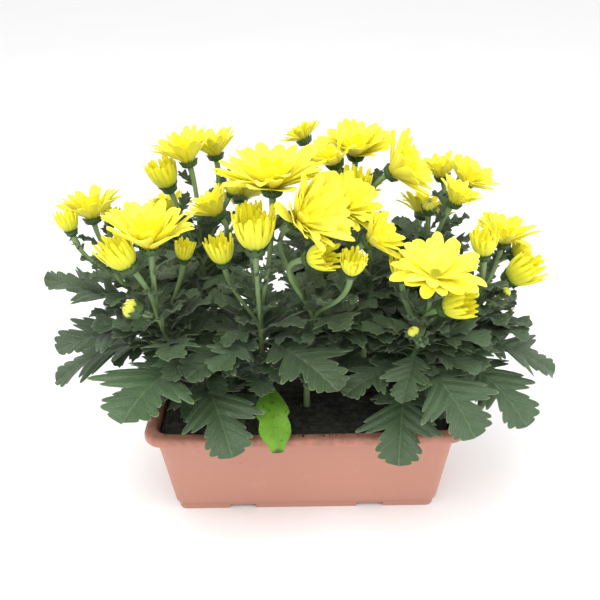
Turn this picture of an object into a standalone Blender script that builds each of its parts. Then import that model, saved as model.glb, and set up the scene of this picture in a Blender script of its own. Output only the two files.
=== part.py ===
"""Pot chrysanthemum: yellow daisy-type blooms on leafy stems in a long plastic trough.

Metres, +Z up. The origin is the middle of the trough's foot, on the surface it stands on.
The long side of the trough runs along X and its front faces -Y.
"""

import math
import random

import bpy
import bmesh
from mathutils import Matrix, Vector
from mathutils.bvhtree import BVHTree

MM = 0.001

# Trough
RIM_LENGTH = 0.300
RIM_WIDTH = 0.145
TROUGH_HEIGHT = 0.108
CORNER_RADIUS = 0.017
# The corners tighten by this share of the inset, down to the least radius
CORNER_TIGHTEN = 0.4
CORNER_RADIUS_LEAST = 0.004
CORNER_STEPS = 2
FRONT_BOW = 0.0035
# Where the bowed long sides bend, as shares of half their length
BOW_POINTS = (0.35, -0.35)
NOTCH_SPACING = 0.127
NOTCH_WIDTH = 0.0265
NOTCH_HEIGHT = 0.0050
# The notch's cutter starts this far under the foot
NOTCH_CUT_BELOW = 0.0020
# Inset from the rim's outer edge, and height, from under the floor round the lip to the floor's top
TROUGH_PROFILE_MM = [
    (25.0, 5.8), (25.0, 0.0), (22.5, 0.0), (22.0, 7.5), (19.5, 10.5), (9.5, 92.5), (8.0, 93.5),
    (7.8, 98.5), (1.0, 98.5), (0.0, 100.5), (0.0, 105.2), (1.5, 107.4), (4.0, 108.0), (9.5, 107.5),
    (11.5, 105.0), (21.5, 11.5), (23.5, 8.5),
]

# Soil, from the floor up the wall and over its mounded top
FIT_GAP = 0.0003
SOIL_SIDE_MM = [(24.0, 8.9), (22.1, 11.6), (12.9, 99.0)]
SOIL_TOP_MM = [(22.0, 102.5), (38.0, 104.0), (56.0, 103.0)]
SOIL_BUMP = 0.0016
# Waves on the soil's top: radians per metre and start along x and along y, then the slanting wave's
# share, and its radians per metre along x and y
SOIL_WAVE = (190, 1.3, 230, 0.6)
SOIL_CROSS_WAVE = (0.6, 71, 120)

# Stems
STEM_SIDES = 5
STEM_FOOT = 0.0700
STEM_STRAIGHT_TO = 0.1120
HOLE_DEPTH = 0.0600
STEM_RADIUS_LOW = 0.0030
STEM_RADIUS_FORK = 0.0022
STALK_RADIUS = 0.0018
STALK_STEPS = 3
SHORT_STALK = 0.075
STEM_STEPS = 4
# How far a curve runs on in its end directions, as shares of its reach
FOOT_PULL = 0.3
CURVE_PULL = 0.35
# Where a stalk leaves the stem, as a share of the stem's last stretch
STALK_START = 0.75

# Green cups under the flowers: radius at the lip and depth, by form, in mm
CUP_FORMS_MM = {"open": (8.2, 6.2), "cup": (6.2, 5.5), "bud": (5.2, 4.5)}
# Height and radius of the cup's shoulder, as shares of its depth and of its lip's radius
CUP_SHOULDER_HEIGHT = 0.35
CUP_SHOULDER_RADIUS = 0.82
# A flower's green cup and core grow with its width: share that stays, and what each mm adds
FLOWER_SCALES = {"open": (0.80, 0.20 / 76), "cup": (0.0, 1 / 25), "bud": (0.0, 1 / 13)}

# Leaves
BLADE_THICKNESS = 0.0008
LEAF_STALK_THICKNESS = 0.0018
LEAF_CLEARANCE = 0.0006
LEAF_FOLD = 0.22
# Distance along the midrib and half-width, as shares of the leaf's length
LEAF_OUTLINE = [
    (0.00, 0.014), (0.20, 0.026), (0.36, 0.270), (0.46, 0.140), (0.66, 0.345), (0.72, 0.175),
    (0.90, 0.190), (1.00, 0.000),
]
LEAF_RIB_STATIONS = [0.32, 0.50, 0.74]

# Petals
CORE_PROFILE_MM = [(7.4, 0.0), (7.8, 3.6), (5.6, 5.2)]
STRAPS = {"cup": 6, "bud": 4}
STRAP_TIP_LEVEL = 2
# Radius and height on a strap petal's ridge, then in the groove beside it. The widest ridge is half of
# the width that its form has in FLOWER_SCALES, so a flower measures its own width across.
STRAP_PROFILES_MM = {
    "cup": [(5.6, 0.0, 5.6, 0.0), (10.4, 7.5, 9.0, 7.5), (12.5, 21.0, 10.8, 13.5), (4.5, 11.5, 4.5, 11.5)],
    "bud": [(4.6, 0.0, 4.6, 0.0), (6.5, 3.4, 5.7, 3.4), (4.6, 7.2, 3.8, 6.8), (1.1, 8.6, 1.1, 8.6)],
}
PETAL_THICKNESS = 0.0008
PETAL_CLEARANCE = 0.0004
# How far from the axis a petal is rooted, inside the core, and the steepest rise its length allows for
PETAL_ROOT_REACH = 0.0050
STEEPEST_RISE = 50
# Distance along a petal, and sideways, as shares of its length and its width
PETAL_OUTLINE = [(0.0, 0.0), (0.62, 0.5), (1.0, 0.24), (1.0, -0.24), (0.62, -0.5)]
PETAL_BREADTH = 0.40
# Root height on the core, length as a share of the outer petals', curl (degrees) and turn of a layer
OUTER_LAYER = (0.0014, 1.00, 4, 0.0)
INNER_LAYER = (0.0034, 0.76, 6, 0.5)
# How far the inner petals rise from the outer ones' angle towards upright
INNER_RISE = 0.42
# Least width (mm) of a bloom with this many petals in its outer and inner layers
PETAL_COUNTS = [(62, 8, 3), (50, 7, 3), (0, 6, 3)]
# Seeded draws: a petal's length as a share, its lift (degrees) and its turn as a share of the step to the
# next one, and a strap tip's height as a share
PETAL_LENGTH_DRAW = (0.94, 1.04)
PETAL_LIFT_DRAW = (-5, 5)
PETAL_TURN_DRAW = (-0.06, 0.06)
STRAP_TIP_DRAW = (0.88, 1.06)

# Leafy stems: foot x and y, fork x, y and z, in mm
SHOOTS = {
    "shoot_01": ((-118, -8), (-150, -22, 236)),
    "shoot_02": ((-92, -20), (-122, -52, 212)),
    "shoot_03": ((-80, 24), (-95, 28, 240)),
    "shoot_04": ((-38, -22), (-38, -50, 215)),
    "shoot_05": ((2, -18), (8, -48, 222)),
    "shoot_06": ((20, 26), (24, 32, 240)),
    "shoot_07": ((58, 8), (62, -4, 236)),
    "shoot_08": ((88, -24), (100, -60, 204)),
    "shoot_09": ((106, 18), (120, 20, 240)),
    "shoot_10": ((122, -10), (150, -25, 205)),
    "shoot_11": ((-108, 36), (-118, 62, 196)),
    "shoot_12": ((84, 38), (96, 70, 200)),
}

# Flowers: form, shoot, seat x, y, z, width across (mm), way it leans, how far it leans from upright
# and how far its outer petals rise (degrees)
FLOWERS = {
    "bloom_01": ("open", "shoot_01", (-181, -5, 299), 60, 140, 12, 36),
    "bloom_02": ("open", "shoot_02", (-117, -85, 308), 77, 90, 5, 32),
    "bloom_03": ("open", "shoot_03", (-99, 28, 337), 54, 165, 12, 45),
    "bloom_04": ("open", "shoot_03", (-79, 62, 331), 50, 150, 10, 42),
    "bloom_05": ("open", "shoot_03", (-73, 0, 299), 44, 170, 34, 48),
    "bloom_06": ("open", "shoot_04", (-23, -70, 348), 93, 90, 4, 21),
    "bloom_07": ("open", "shoot_06", (3, 100, 332), 43, 150, 30, 28),
    "bloom_08": ("open", "shoot_05", (-5, -92, 331), 76, 325, 52, 36),
    "bloom_09": ("open", "shoot_05", (32, -52, 323), 60, 320, 42, 30),
    "bloom_10": ("open", "shoot_07", (52, -72, 305), 48, 345, 52, 38),
    "bloom_11": ("open", "shoot_06", (47, 24, 342), 64, 280, 8, 34),
    "bloom_12": ("open", "shoot_06", (28, 4, 342), 54, 190, 24, 34),
    "bloom_13": ("open", "shoot_07", (75, -8, 337), 64, 345, 55, 40),
    "bloom_14": ("open", "shoot_09", (146, 34, 310), 54, 350, 28, 34),
    "bloom_15": ("open", "shoot_09", (129, -8, 310), 38, 350, 26, 46),
    "bloom_16": ("open", "shoot_10", (177, 0, 267), 58, 40, 8, 34),
    "bloom_17": ("open", "shoot_10", (192, 12, 249), 44, 350, 62, 34),
    "bloom_18": ("open", "shoot_08", (100, -99, 286), 74, 280, 15, 17),
    "bloom_19": ("open", "shoot_11", (-132, 88, 262), 60, 115, 36, 20),
    "bloom_20": ("open", "shoot_11", (-62, 106, 270), 64, 90, 40, 16),
    "bloom_21": ("open", "shoot_12", (50, 104, 272), 64, 85, 42, 18),
    "bloom_22": ("open", "shoot_12", (120, 90, 256), 58, 60, 36, 24),
    "bloom_23": ("open", "shoot_09", (133, 70, 304), 44, 160, 14, 44),
    "half_open_01": ("cup", "shoot_01", (-195, -24, 295), 20, 150, 14, 0),
    "half_open_02": ("cup", "shoot_01", (-172, 14, 285), 18, 40, 12, 0),
    "half_open_03": ("cup", "shoot_02", (-133, -92, 296), 29, 190, 30, 0),
    "half_open_04": ("cup", "shoot_02", (-100, -42, 276), 18, 20, 10, 0),
    "half_open_05": ("cup", "shoot_03", (-119, 30, 313), 29, 190, 16, 0),
    "half_open_06": ("cup", "shoot_03", (-65, 34, 303), 14, 20, 30, 0),
    "half_open_07": ("cup", "shoot_04", (-36, -100, 314), 34, 265, 4, 0),
    "half_open_08": ("cup", "shoot_04", (-43, -46, 306), 23, 90, 2, 0),
    "half_open_09": ("cup", "shoot_04", (-65, -60, 282), 25, 200, 8, 0),
    "half_open_10": ("cup", "shoot_05", (4, -106, 307), 24, 330, 68, 0),
    "half_open_11": ("cup", "shoot_05", (35, -112, 298), 21, 285, 18, 0),
    "half_open_12": ("cup", "shoot_06", (43, -12, 316), 28, 300, 10, 0),
    "half_open_13": ("cup", "shoot_10", (148, -52, 281), 24, 200, 6, 0),
    "half_open_14": ("cup", "shoot_10", (179, -30, 247), 32, 335, 46, 0),
    "half_open_15": ("cup", "shoot_08", (110, -96, 257), 28, 330, 58, 0),
    "half_open_16": ("cup", "shoot_08", (79, -72, 272), 22, 250, 10, 0),
    "bud_01": ("bud", "shoot_02", (-131, -98, 260), 16, 190, 60, 0),
    "bud_02": ("bud", "shoot_01", (-154, -64, 290), 11, 150, 10, 0),
    "bud_03": ("bud", "shoot_09", (110, 2, 298), 13, 260, 4, 0),
    "bud_04": ("bud", "shoot_10", (170, -48, 242), 9, 350, 40, 0),
    "bud_05": ("bud", "shoot_10", (138, -72, 254), 8, 300, 30, 0),
    "bud_06": ("bud", "shoot_08", (87, -104, 238), 10, 190, 30, 0),
}

# Leaves placed by eye: shoot, height on the stem, tip x, y, z (mm), bend along the blade (degrees), width
PLACED_LEAVES = [
    ("shoot_01", 226, (-221, -26, 276), 12, 0.80),
    ("shoot_01", 212, (-222, -36, 256), 15, 1.10),
    ("shoot_01", 178, (-227, -44, 154), 50, 0.90),
    ("shoot_01", 190, (-210, -70, 205), 40, 1.10),
    ("shoot_01", 140, (-176, -52, 122), 45, 0.90),
    ("shoot_02", 166, (-146, -134, 178), 50, 1.20),
    ("shoot_02", 150, (-62, -122, 130), 60, 0.95),
    ("shoot_02", 190, (-106, -118, 226), 40, 0.80),
    ("shoot_04", 182, (-98, -100, 196), 50, 1.10),
    ("shoot_04", 196, (26, -118, 194), 40, 1.05),
    ("shoot_04", 146, (-24, -108, 122), 55, 0.75),
    ("shoot_04", 206, (-80, -66, 226), 30, 0.70),
    ("shoot_08", 168, (32, -100, 176), 35, 0.80),
    ("shoot_08", 152, (78, -122, 118), 50, 1.05),
    ("shoot_08", 180, (138, -128, 152), 50, 1.15),
    ("shoot_08", 196, (112, -118, 214), 40, 0.85),
    ("shoot_10", 165, (190, -100, 140), 45, 1.00),
    ("shoot_10", 184, (226, -48, 158), 40, 1.05),
    ("shoot_10", 198, (227, 2, 188), 25, 0.85),
    ("shoot_09", 200, (204, 24, 198), 35, 0.95),
    ("shoot_09", 236, (165, 60, 262), 25, 0.70),
    ("shoot_07", 228, (86, 40, 282), 20, 0.80),
    ("shoot_05", 190, (58, -100, 214), 40, 0.95),
    ("shoot_07", 200, (76, -78, 212), 45, 0.95),
    ("shoot_05", 214, (-24, -92, 246), 30, 0.85),
    ("shoot_05", 216, (40, -20, 252), 25, 0.95),
    ("shoot_06", 226, (66, -26, 250), 30, 0.90),
    ("shoot_03", 222, (-60, -34, 240), 30, 0.85),
    ("shoot_11", 150, (-150, 128, 158), 50, 1.10),
    ("shoot_11", 172, (-86, 132, 190), 40, 1.00),
    ("shoot_11", 184, (-180, 92, 214), 30, 0.90),
    ("shoot_03", 226, (-130, 62, 264), 20, 0.90),
    ("shoot_03", 215, (-150, 72, 246), 25, 0.85),
    ("shoot_03", 136, (-152, 66, 126), 45, 1.00),
    ("shoot_06", 220, (-18, 74, 256), 25, 1.00),
    ("shoot_06", 190, (64, 102, 204), 40, 1.00),
    ("shoot_06", 206, (-32, 90, 224), 35, 0.90),
    ("shoot_12", 188, (66, 128, 172), 40, 1.10),
    ("shoot_12", 170, (140, 130, 170), 45, 1.10),
    ("shoot_12", 186, (40, 128, 216), 35, 0.90),
    ("shoot_09", 160, (180, 84, 150), 45, 1.10),
    ("shoot_09", 192, (154, 92, 214), 35, 0.90),
    ("shoot_10", 150, (208, 32, 138), 45, 1.00),
    ("shoot_07", 226, (34, -40, 264), 25, 0.80),
    ("shoot_06", 236, (-16, -6, 268), 25, 0.80),
    ("shoot_03", 234, (-52, 20, 276), 20, 0.75),
    ("shoot_09", 232, (90, -30, 262), 25, 0.75),
    ("shoot_03", 204, (-44, 62, 236), 25, 0.95),
    ("shoot_07", 206, (24, -14, 232), 25, 0.95),
    ("shoot_04", 210, (-70, -14, 250), 20, 0.90),
    ("shoot_09", 222, (72, 50, 252), 25, 0.90),
    ("shoot_10", 203, (96, -28, 240), 25, 0.90),
]

# Leaves that follow the spiral round each stem
SPIRAL_TURN = 137.5
SPIRAL_LEAVES = 3
SPIRAL_LOWEST = 0.192
LEAF_LENGTH_LOW = 0.072
LEAF_LENGTH_HIGH = 0.062
# The highest leaf stands this far under the fork
SPIRAL_TOP_GAP = 0.008
# Slope of the lowest leaf and what the highest one adds to it (degrees)
LEAF_SLOPE = -8
LEAF_SLOPE_GAIN = 30
# Seeded draws: length as a share, slope and bend (degrees), and width
LEAF_LENGTH_DRAW = (0.9, 1.1)
LEAF_SLOPE_DRAW = (-8, 8)
LEAF_BEND_DRAW = (30, 55)
LEAF_WIDTH_DRAW = (0.85, 1.1)
# A leaf takes the first of these turns (degrees) and sizes at which it touches nothing
LEAF_TURNS = [0, 14, -14, 28, -28, 44, -44, 62, -62]
LEAF_LIFTS = [0, 14, -12]
LEAF_SIZES = [1.0, 0.82, 0.66]
# A petal takes the first of these lifts (degrees) and lengths at which it touches nothing
PETAL_LIFTS = [0, 10, -8, 20, 30, 42]
PETAL_SIZES = [1.0, 0.8, 0.62]
REACH_LIMIT_X = 0.228
REACH_LIMIT_Y = 0.136

# Points nearer than this are welded, and edges sharper than this (degrees) are shown sharp
WELD_DISTANCE = 0.00001
SHARP_EDGE = 30


def clear_scene():
    for item in list(bpy.data.objects):
        bpy.data.objects.remove(item, do_unlink=True)


def paint(name, colour, roughness):
    material = bpy.data.materials.new(name)
    material.use_nodes = True
    shader = material.node_tree.nodes["Principled BSDF"]
    shader.inputs["Base Color"].default_value = (*colour, 1.0)
    shader.inputs["Roughness"].default_value = roughness
    shader.inputs["Metallic"].default_value = 0.0
    return material


def add_object(name, points, faces, material=None):
    mesh = bpy.data.meshes.new(name)
    mesh.from_pydata([tuple(p) for p in points], [], faces)
    mesh.validate()
    if material is not None:
        mesh.materials.append(material)
    item = bpy.data.objects.new(name, mesh)
    bpy.context.scene.collection.objects.link(item)
    return item


# Trough and soil

def outline_ring(inset, height, gap=0.0):
    """Rounded rectangle, seen from above anticlockwise, whose long sides bow outward near the rim."""
    half_x = RIM_LENGTH / 2 - inset - gap
    half_y = RIM_WIDTH / 2 - inset - gap
    radius = max(CORNER_RADIUS - CORNER_TIGHTEN * inset, CORNER_RADIUS_LEAST)
    bow = FRONT_BOW * max(height, 0.0) / TROUGH_HEIGHT
    points = []
    for corner, (sx, sy) in enumerate([(1, 1), (-1, 1), (-1, -1), (1, -1)]):
        centre = Vector((sx * (half_x - radius), sy * (half_y - radius)))
        for step in range(CORNER_STEPS + 1):
            angle = math.radians(90) * (corner + step / CORNER_STEPS)
            spot = centre + radius * Vector((math.cos(angle), math.sin(angle)))
            points.append(spot)
        if corner in (0, 2):
            for share in BOW_POINTS:
                points.append(Vector((sx * share * half_x, sy * half_y)))
    ring = []
    for spot in points:
        share = 1 - (spot.x / half_x) ** 2
        side = max(-1.0, min(1.0, spot.y / (half_y - radius)))
        ring.append(Vector((spot.x, spot.y + side * bow * share, height)))
    return ring


def loft(rings):
    """Closed solid through rings of equal count, the first cap facing away from the second ring."""
    points = [p for ring in rings for p in ring]
    count = len(rings[0])
    faces = []
    for level in range(len(rings) - 1):
        low = level * count
        high = low + count
        for i in range(count):
            j = (i + 1) % count
            faces.append((low + i, low + j, high + j, high + i))
    faces.append(tuple(reversed(range(count))))
    last = (len(rings) - 1) * count
    faces.append(tuple(range(last, last + count)))
    return points, faces


def box_solid(centre, size):
    bm = bmesh.new()
    bmesh.ops.create_cube(bm, size=1.0)
    bmesh.ops.scale(bm, vec=size, verts=bm.verts)
    bmesh.ops.translate(bm, vec=centre, verts=bm.verts)
    points = [vert.co.copy() for vert in bm.verts]
    faces = [tuple(vert.index for vert in face.verts) for face in bm.faces]
    bm.free()
    return points, faces


def build_trough(material):
    rings = [outline_ring(inset * MM, height * MM) for inset, height in TROUGH_PROFILE_MM]
    size = (NOTCH_WIDTH, RIM_WIDTH, NOTCH_HEIGHT + NOTCH_CUT_BELOW)
    middle = (NOTCH_HEIGHT - NOTCH_CUT_BELOW) / 2
    notches = []
    for side in (-1, 1):
        notches.append(box_solid((side * NOTCH_SPACING / 2, 0, middle), size))
    return combine("planter_trough", loft(rings), notches, "DIFFERENCE", material)


def soil_bump(x, y):
    """Height that the crumbly top adds: a chequer of humps with a slanting wave over it."""
    across_x, start_x, across_y, start_y = SOIL_WAVE
    share, slant_x, slant_y = SOIL_CROSS_WAVE
    humps = math.sin(x * across_x + start_x) * math.cos(y * across_y + start_y)
    return SOIL_BUMP * (humps + share * math.sin(x * slant_x - y * slant_y))


def build_soil(material):
    rings = [outline_ring(inset * MM, height * MM, FIT_GAP) for inset, height in SOIL_SIDE_MM]
    for inset, height in SOIL_TOP_MM:
        ring = outline_ring(inset * MM, height * MM)
        rings.append([p + Vector((0, 0, soil_bump(p.x, p.y))) for p in ring])
    radius = STEM_RADIUS_LOW + FIT_GAP / math.cos(math.pi / STEM_SIDES)
    holes = []
    for foot, _ in SHOOTS.values():
        start = Vector((foot[0] * MM, foot[1] * MM, STEM_FOOT - FIT_GAP))
        ring_low = circle_ring(start, Vector((0, 0, 1)), radius, STEM_SIDES)
        ring_high = [p + Vector((0, 0, HOLE_DEPTH)) for p in ring_low]
        holes.append(loft([ring_low, ring_high]))
    return combine("potting_soil", loft(rings), holes, "DIFFERENCE", material)


# Stems and stalks

def across(direction):
    """Two unit directions square to a direction, the first as level as it can be."""
    direction = direction.normalized()
    guide = Vector((0, 0, 1)) if abs(direction.z) < 0.95 else Vector((1, 0, 0))
    side = guide.cross(direction).normalized()
    return side, direction.cross(side).normalized()


def circle_ring(centre, direction, radius, sides, turn=0.0):
    """Ring of points square to a direction, turned by a share of the step between two of them."""
    side, other = across(direction)
    ring = []
    for i in range(sides):
        angle = 2 * math.pi * (i + turn) / sides
        ring.append(centre + radius * (math.cos(angle) * side + math.sin(angle) * other))
    return ring


def swept_tube(path, radii, sides):
    """Closed tube whose rings keep their turn along the path."""
    rings = []
    side = None
    for i, centre in enumerate(path):
        ahead = path[min(i + 1, len(path) - 1)]
        behind = path[max(i - 1, 0)]
        direction = (ahead - behind).normalized()
        if side is None:
            side, other = across(direction)
        else:
            side = (side - side.dot(direction) * direction).normalized()
            other = direction.cross(side).normalized()
        ring = []
        for k in range(sides):
            angle = 2 * math.pi * k / sides
            ring.append(centre + radii[i] * (math.cos(angle) * side + math.sin(angle) * other))
        rings.append(ring)
    return loft(rings)


def bezier(a, b, c, d, steps):
    points = []
    for i in range(steps + 1):
        t = i / steps
        s = 1 - t
        points.append(s ** 3 * a + 3 * s * s * t * b + 3 * s * t * t * c + t ** 3 * d)
    return points


def lean_axis(heading, lean):
    """Unit direction that leans from upright towards a compass heading, both in degrees."""
    turn = math.radians(heading)
    tilt = math.radians(lean)
    return Vector((math.sin(tilt) * math.cos(turn), math.sin(tilt) * math.sin(turn), math.cos(tilt)))


def stem_path(shoot):
    foot, fork = SHOOTS[shoot]
    start = Vector((foot[0] * MM, foot[1] * MM, STEM_STRAIGHT_TO))
    end = Vector(fork) * MM
    reach = (end - start).length
    curve = bezier(start, start + Vector((0, 0, FOOT_PULL * reach)), end - CURVE_PULL * (end - start),
                   end, STEM_STEPS)
    return [Vector((start.x, start.y, STEM_FOOT))] + curve


def point_at_height(path, height):
    for low, high in zip(path, path[1:]):
        if low.z <= height <= high.z:
            share = (height - low.z) / (high.z - low.z)
            return low.lerp(high, share)
    return path[-1].copy()


# Flowers: cup of green bracts, core and petals

def flower_scale(form, width):
    fixed, per_mm = FLOWER_SCALES[form]
    return fixed + per_mm * width


def build_stalk(name, path):
    """Stalk from the fork to the flower, widening into the green cup under the petals."""
    form, _, seat, width, heading, lean, _ = FLOWERS[name]
    axis = lean_axis(heading, lean)
    scale = flower_scale(form, width)
    lip_radius = CUP_FORMS_MM[form][0] * MM * scale
    depth = CUP_FORMS_MM[form][1] * MM * scale
    top = Vector(seat) * MM
    base = top - depth * axis
    fork = path[-1]
    low = path[-2].lerp(fork, STALK_START)
    reach = (base - low).length
    up = (fork - path[-2]).normalized()
    outward = (base - low).normalized()
    steps = STALK_STEPS - 1 if reach < SHORT_STALK else STALK_STEPS
    pull = CURVE_PULL * reach
    curve = bezier(low, low + pull * (up + outward).normalized(), base - pull * axis, base, steps)
    radii = [STALK_RADIUS] * len(curve)
    curve += [base + CUP_SHOULDER_HEIGHT * depth * axis, top]
    radii += [CUP_SHOULDER_RADIUS * lip_radius, lip_radius]
    return swept_tube(curve, radii, STEM_SIDES)


def build_core(axis, centre, scale, sides):
    """Low core of an open bloom, which its petals stand out of, a side to each outer petal."""
    rings = []
    for radius, height in CORE_PROFILE_MM:
        spot = centre + height * MM * scale * axis
        rings.append(circle_ring(spot, axis, radius * MM * scale, sides, 0.5))
    return loft(rings)


def build_strap_cup(form, axis, centre, scale, rng):
    """Strap petals still standing close together: a ribbed cup whose rim ends in the petals' tips."""
    side, other = across(axis)
    count = 2 * STRAPS[form]
    tips = [rng.uniform(*STRAP_TIP_DRAW) for _ in range(count)]
    rings = []
    for level, (ridge, ridge_height, groove, groove_height) in enumerate(STRAP_PROFILES_MM[form]):
        ring = []
        for i in range(count):
            on_ridge = i % 2 == 0
            radius = ridge if on_ridge else groove
            height = ridge_height if on_ridge else groove_height
            if level == STRAP_TIP_LEVEL:
                height = height * tips[i]
            angle = 2 * math.pi * i / count
            outward = math.cos(angle) * side + math.sin(angle) * other
            ring.append(centre + MM * scale * (radius * outward + height * axis))
        rings.append(ring)
    return loft(rings)


def petal_length(width, rise):
    """Length of the outer petals, which reach the bloom's full width although they rise."""
    level = math.cos(math.radians(min(rise, STEEPEST_RISE)))
    return (width * MM / 2 - PETAL_ROOT_REACH) / level


def petal_solid(centre, axis, angle, root_height, length, width, lift, curl, thickness):
    """Flat-sided petal of five outline points that grows from the core and bends once along its length."""
    side, other = across(axis)
    outward = math.cos(angle) * side + math.sin(angle) * other
    tangent = axis.cross(outward).normalized()

    def spine(share):
        bend = math.radians(lift) + math.radians(curl) * share
        mean = math.radians(lift) + math.radians(curl) * share / 2
        spot = centre + root_height * axis + PETAL_ROOT_REACH * outward
        spot = spot + share * length * (math.cos(mean) * outward + math.sin(mean) * axis)
        normal = math.cos(bend) * axis - math.sin(bend) * outward
        return spot, normal

    top = []
    bottom = []
    for along, lateral in PETAL_OUTLINE:
        spot, normal = spine(along)
        spot = spot + lateral * width * tangent
        top.append(spot + 0.5 * thickness * normal)
        bottom.append(spot - 0.5 * thickness * normal)
    points = top + bottom
    faces = [(0, 4, 1), (1, 4, 3), (1, 3, 2), (5, 6, 9), (6, 8, 9), (6, 7, 8)]
    count = len(PETAL_OUTLINE)
    for i in range(count):
        j = (i + 1) % count
        faces.append((i, j, count + j, count + i))
    return points, outward_faces(points, faces)


def outward_faces(points, faces):
    """Turn every face over when the closed solid's volume comes out negative."""
    volume = 0.0
    for face in faces:
        for k in range(1, len(face) - 1):
            a, b, c = points[face[0]], points[face[k]], points[face[k + 1]]
            volume += a.dot(b.cross(c))
    if volume < 0:
        return [tuple(reversed(face)) for face in faces]
    return faces


def petal_counts(width):
    """Petals in the outer and the inner layer, for a bloom's width in mm."""
    for least, outer, inner in PETAL_COUNTS:
        if width > least:
            return outer, inner


def petal_layers(width, rise, rng):
    """Petals of an open bloom: angle, root height, length, width, lift and curl of each."""
    radius = width * MM / 2
    outer, inner = petal_counts(width)
    inner_rise = rise + INNER_RISE * (90 - rise)
    petals = []
    for count, lift, layer in ((outer, rise, OUTER_LAYER), (inner, inner_rise, INNER_LAYER)):
        root, share, curl, offset = layer
        for i in range(count):
            angle = 2 * math.pi * (i + offset + rng.uniform(*PETAL_TURN_DRAW)) / count
            length = petal_length(width, rise) * share * rng.uniform(*PETAL_LENGTH_DRAW)
            drawn_lift = lift + rng.uniform(*PETAL_LIFT_DRAW)
            petals.append((angle, root, length, radius * PETAL_BREADTH, drawn_lift, curl))
    return petals


# Leaves

def leaf_frame(attach, tip, bend):
    """Arc from the stem to the tip in an upright plane: gives the midrib's point, direction and normal."""
    chord = tip - attach
    length = chord.length
    level = Vector((chord.x, chord.y, 0)).normalized()
    slope = math.asin(max(-1.0, min(1.0, chord.z / length)))
    total = math.radians(bend)
    arc = length * (total / 2) / math.sin(total / 2) if bend else length
    lateral = Vector((0, 0, 1)).cross(level)

    def midrib(share):
        turn = slope + total / 2 - total * share
        half = slope + total / 2 - total * share / 2
        span = arc * share
        part = total * share
        straight = span * (math.sin(part / 2) / (part / 2)) if part > 1e-6 else span
        spot = attach + straight * (math.cos(half) * level + math.sin(half) * Vector((0, 0, 1)))
        ahead = math.cos(turn) * level + math.sin(turn) * Vector((0, 0, 1))
        normal = lateral.cross(ahead) * -1
        return spot, ahead, normal

    return midrib, lateral, arc


def leaf_point(midrib, lateral, arc, along, out, breadth, thickness):
    """Point of the blade: it rises from the midrib to both sides in a shallow fold."""
    spot, _, normal = midrib(along)
    reach = out * breadth * arc
    rise = LEAF_FOLD * abs(reach)
    centre = spot + reach * lateral + rise * normal
    return centre + 0.5 * thickness * normal, centre - 0.5 * thickness * normal


def leaf_solid(attach, tip, bend, breadth, extra=0.0):
    """Lobed blade on its stalk, as one thin solid with the same triangles on both faces."""
    midrib, lateral, arc = leaf_frame(attach, tip, bend)
    outline = []
    for along, out in LEAF_OUTLINE:
        outline.append((along, out))
    for along, out in reversed(LEAF_OUTLINE[:-1]):
        outline.append((along, -out))
    tops = []
    bottoms = []
    for along, out in outline + [(along, 0.0) for along in LEAF_RIB_STATIONS]:
        narrow = along < 0.1
        thickness = (LEAF_STALK_THICKNESS if narrow else BLADE_THICKNESS) + extra
        high, low = leaf_point(midrib, lateral, arc, along, out, breadth if not narrow else 1.0, thickness)
        tops.append(high)
        bottoms.append(low)
    count = len(tops)
    border = len(outline)
    top_faces = []
    tip_index = len(LEAF_OUTLINE) - 1
    rib = [border, border + 1, border + 2]
    for mirror in (False, True):
        edge = [border - 1 - i if mirror else i for i in range(tip_index)]
        fan = [
            (edge[1], edge[2], rib[0]), (edge[2], edge[3], rib[0]), (edge[3], rib[1], rib[0]),
            (edge[3], edge[4], rib[1]), (edge[4], edge[5], rib[1]), (edge[5], rib[2], rib[1]),
            (edge[5], edge[6], rib[2]), (edge[6], tip_index, rib[2]),
        ]
        top_faces += [tuple(reversed(face)) for face in fan] if mirror else fan
    far_root, far_neck = border - 1, border - 2
    top_faces += [(0, 1, far_neck), (0, far_neck, far_root), (1, rib[0], far_neck)]
    points = tops + bottoms
    faces = list(top_faces)
    faces += [tuple(count + i for i in reversed(face)) for face in top_faces]
    for i in range(border):
        j = (i + 1) % border
        faces.append((j, i, count + i, count + j))
    return points, outward_faces(points, faces)


# Keeping pieces of different nodes clear of each other

class Taken:
    """Solids already placed, by the node they belong to, for testing the next one against."""

    def __init__(self):
        self.entries = []

    def add(self, node, kind, points, faces):
        self.entries.append((node, kind, *boxed(points), BVHTree.FromPolygons(points, faces)))

    def is_clear(self, points, faces, skip):
        low, high = boxed(points)
        tree = BVHTree.FromPolygons(points, faces)
        for node, kind, other_low, other_high, other in self.entries:
            if skip(node, kind):
                continue
            if any(low[k] > other_high[k] or high[k] < other_low[k] for k in range(3)):
                continue
            if tree.overlap(other):
                return False
        return True


def boxed(points):
    low = Vector([min(p[k] for p in points) for k in range(3)])
    high = Vector([max(p[k] for p in points) for k in range(3)])
    return low, high


def build_body(name):
    """Core of an open bloom, or the whole of a half-open one or a bud, just clear of its green cup."""
    form, _, seat, width, heading, lean, _ = FLOWERS[name]
    axis = lean_axis(heading, lean)
    centre = Vector(seat) * MM + FIT_GAP * axis
    scale = flower_scale(form, width)
    if form == "open":
        return build_core(axis, centre, scale, petal_counts(width)[0])
    return build_strap_cup(form, axis, centre, scale, random.Random(name))


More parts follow.
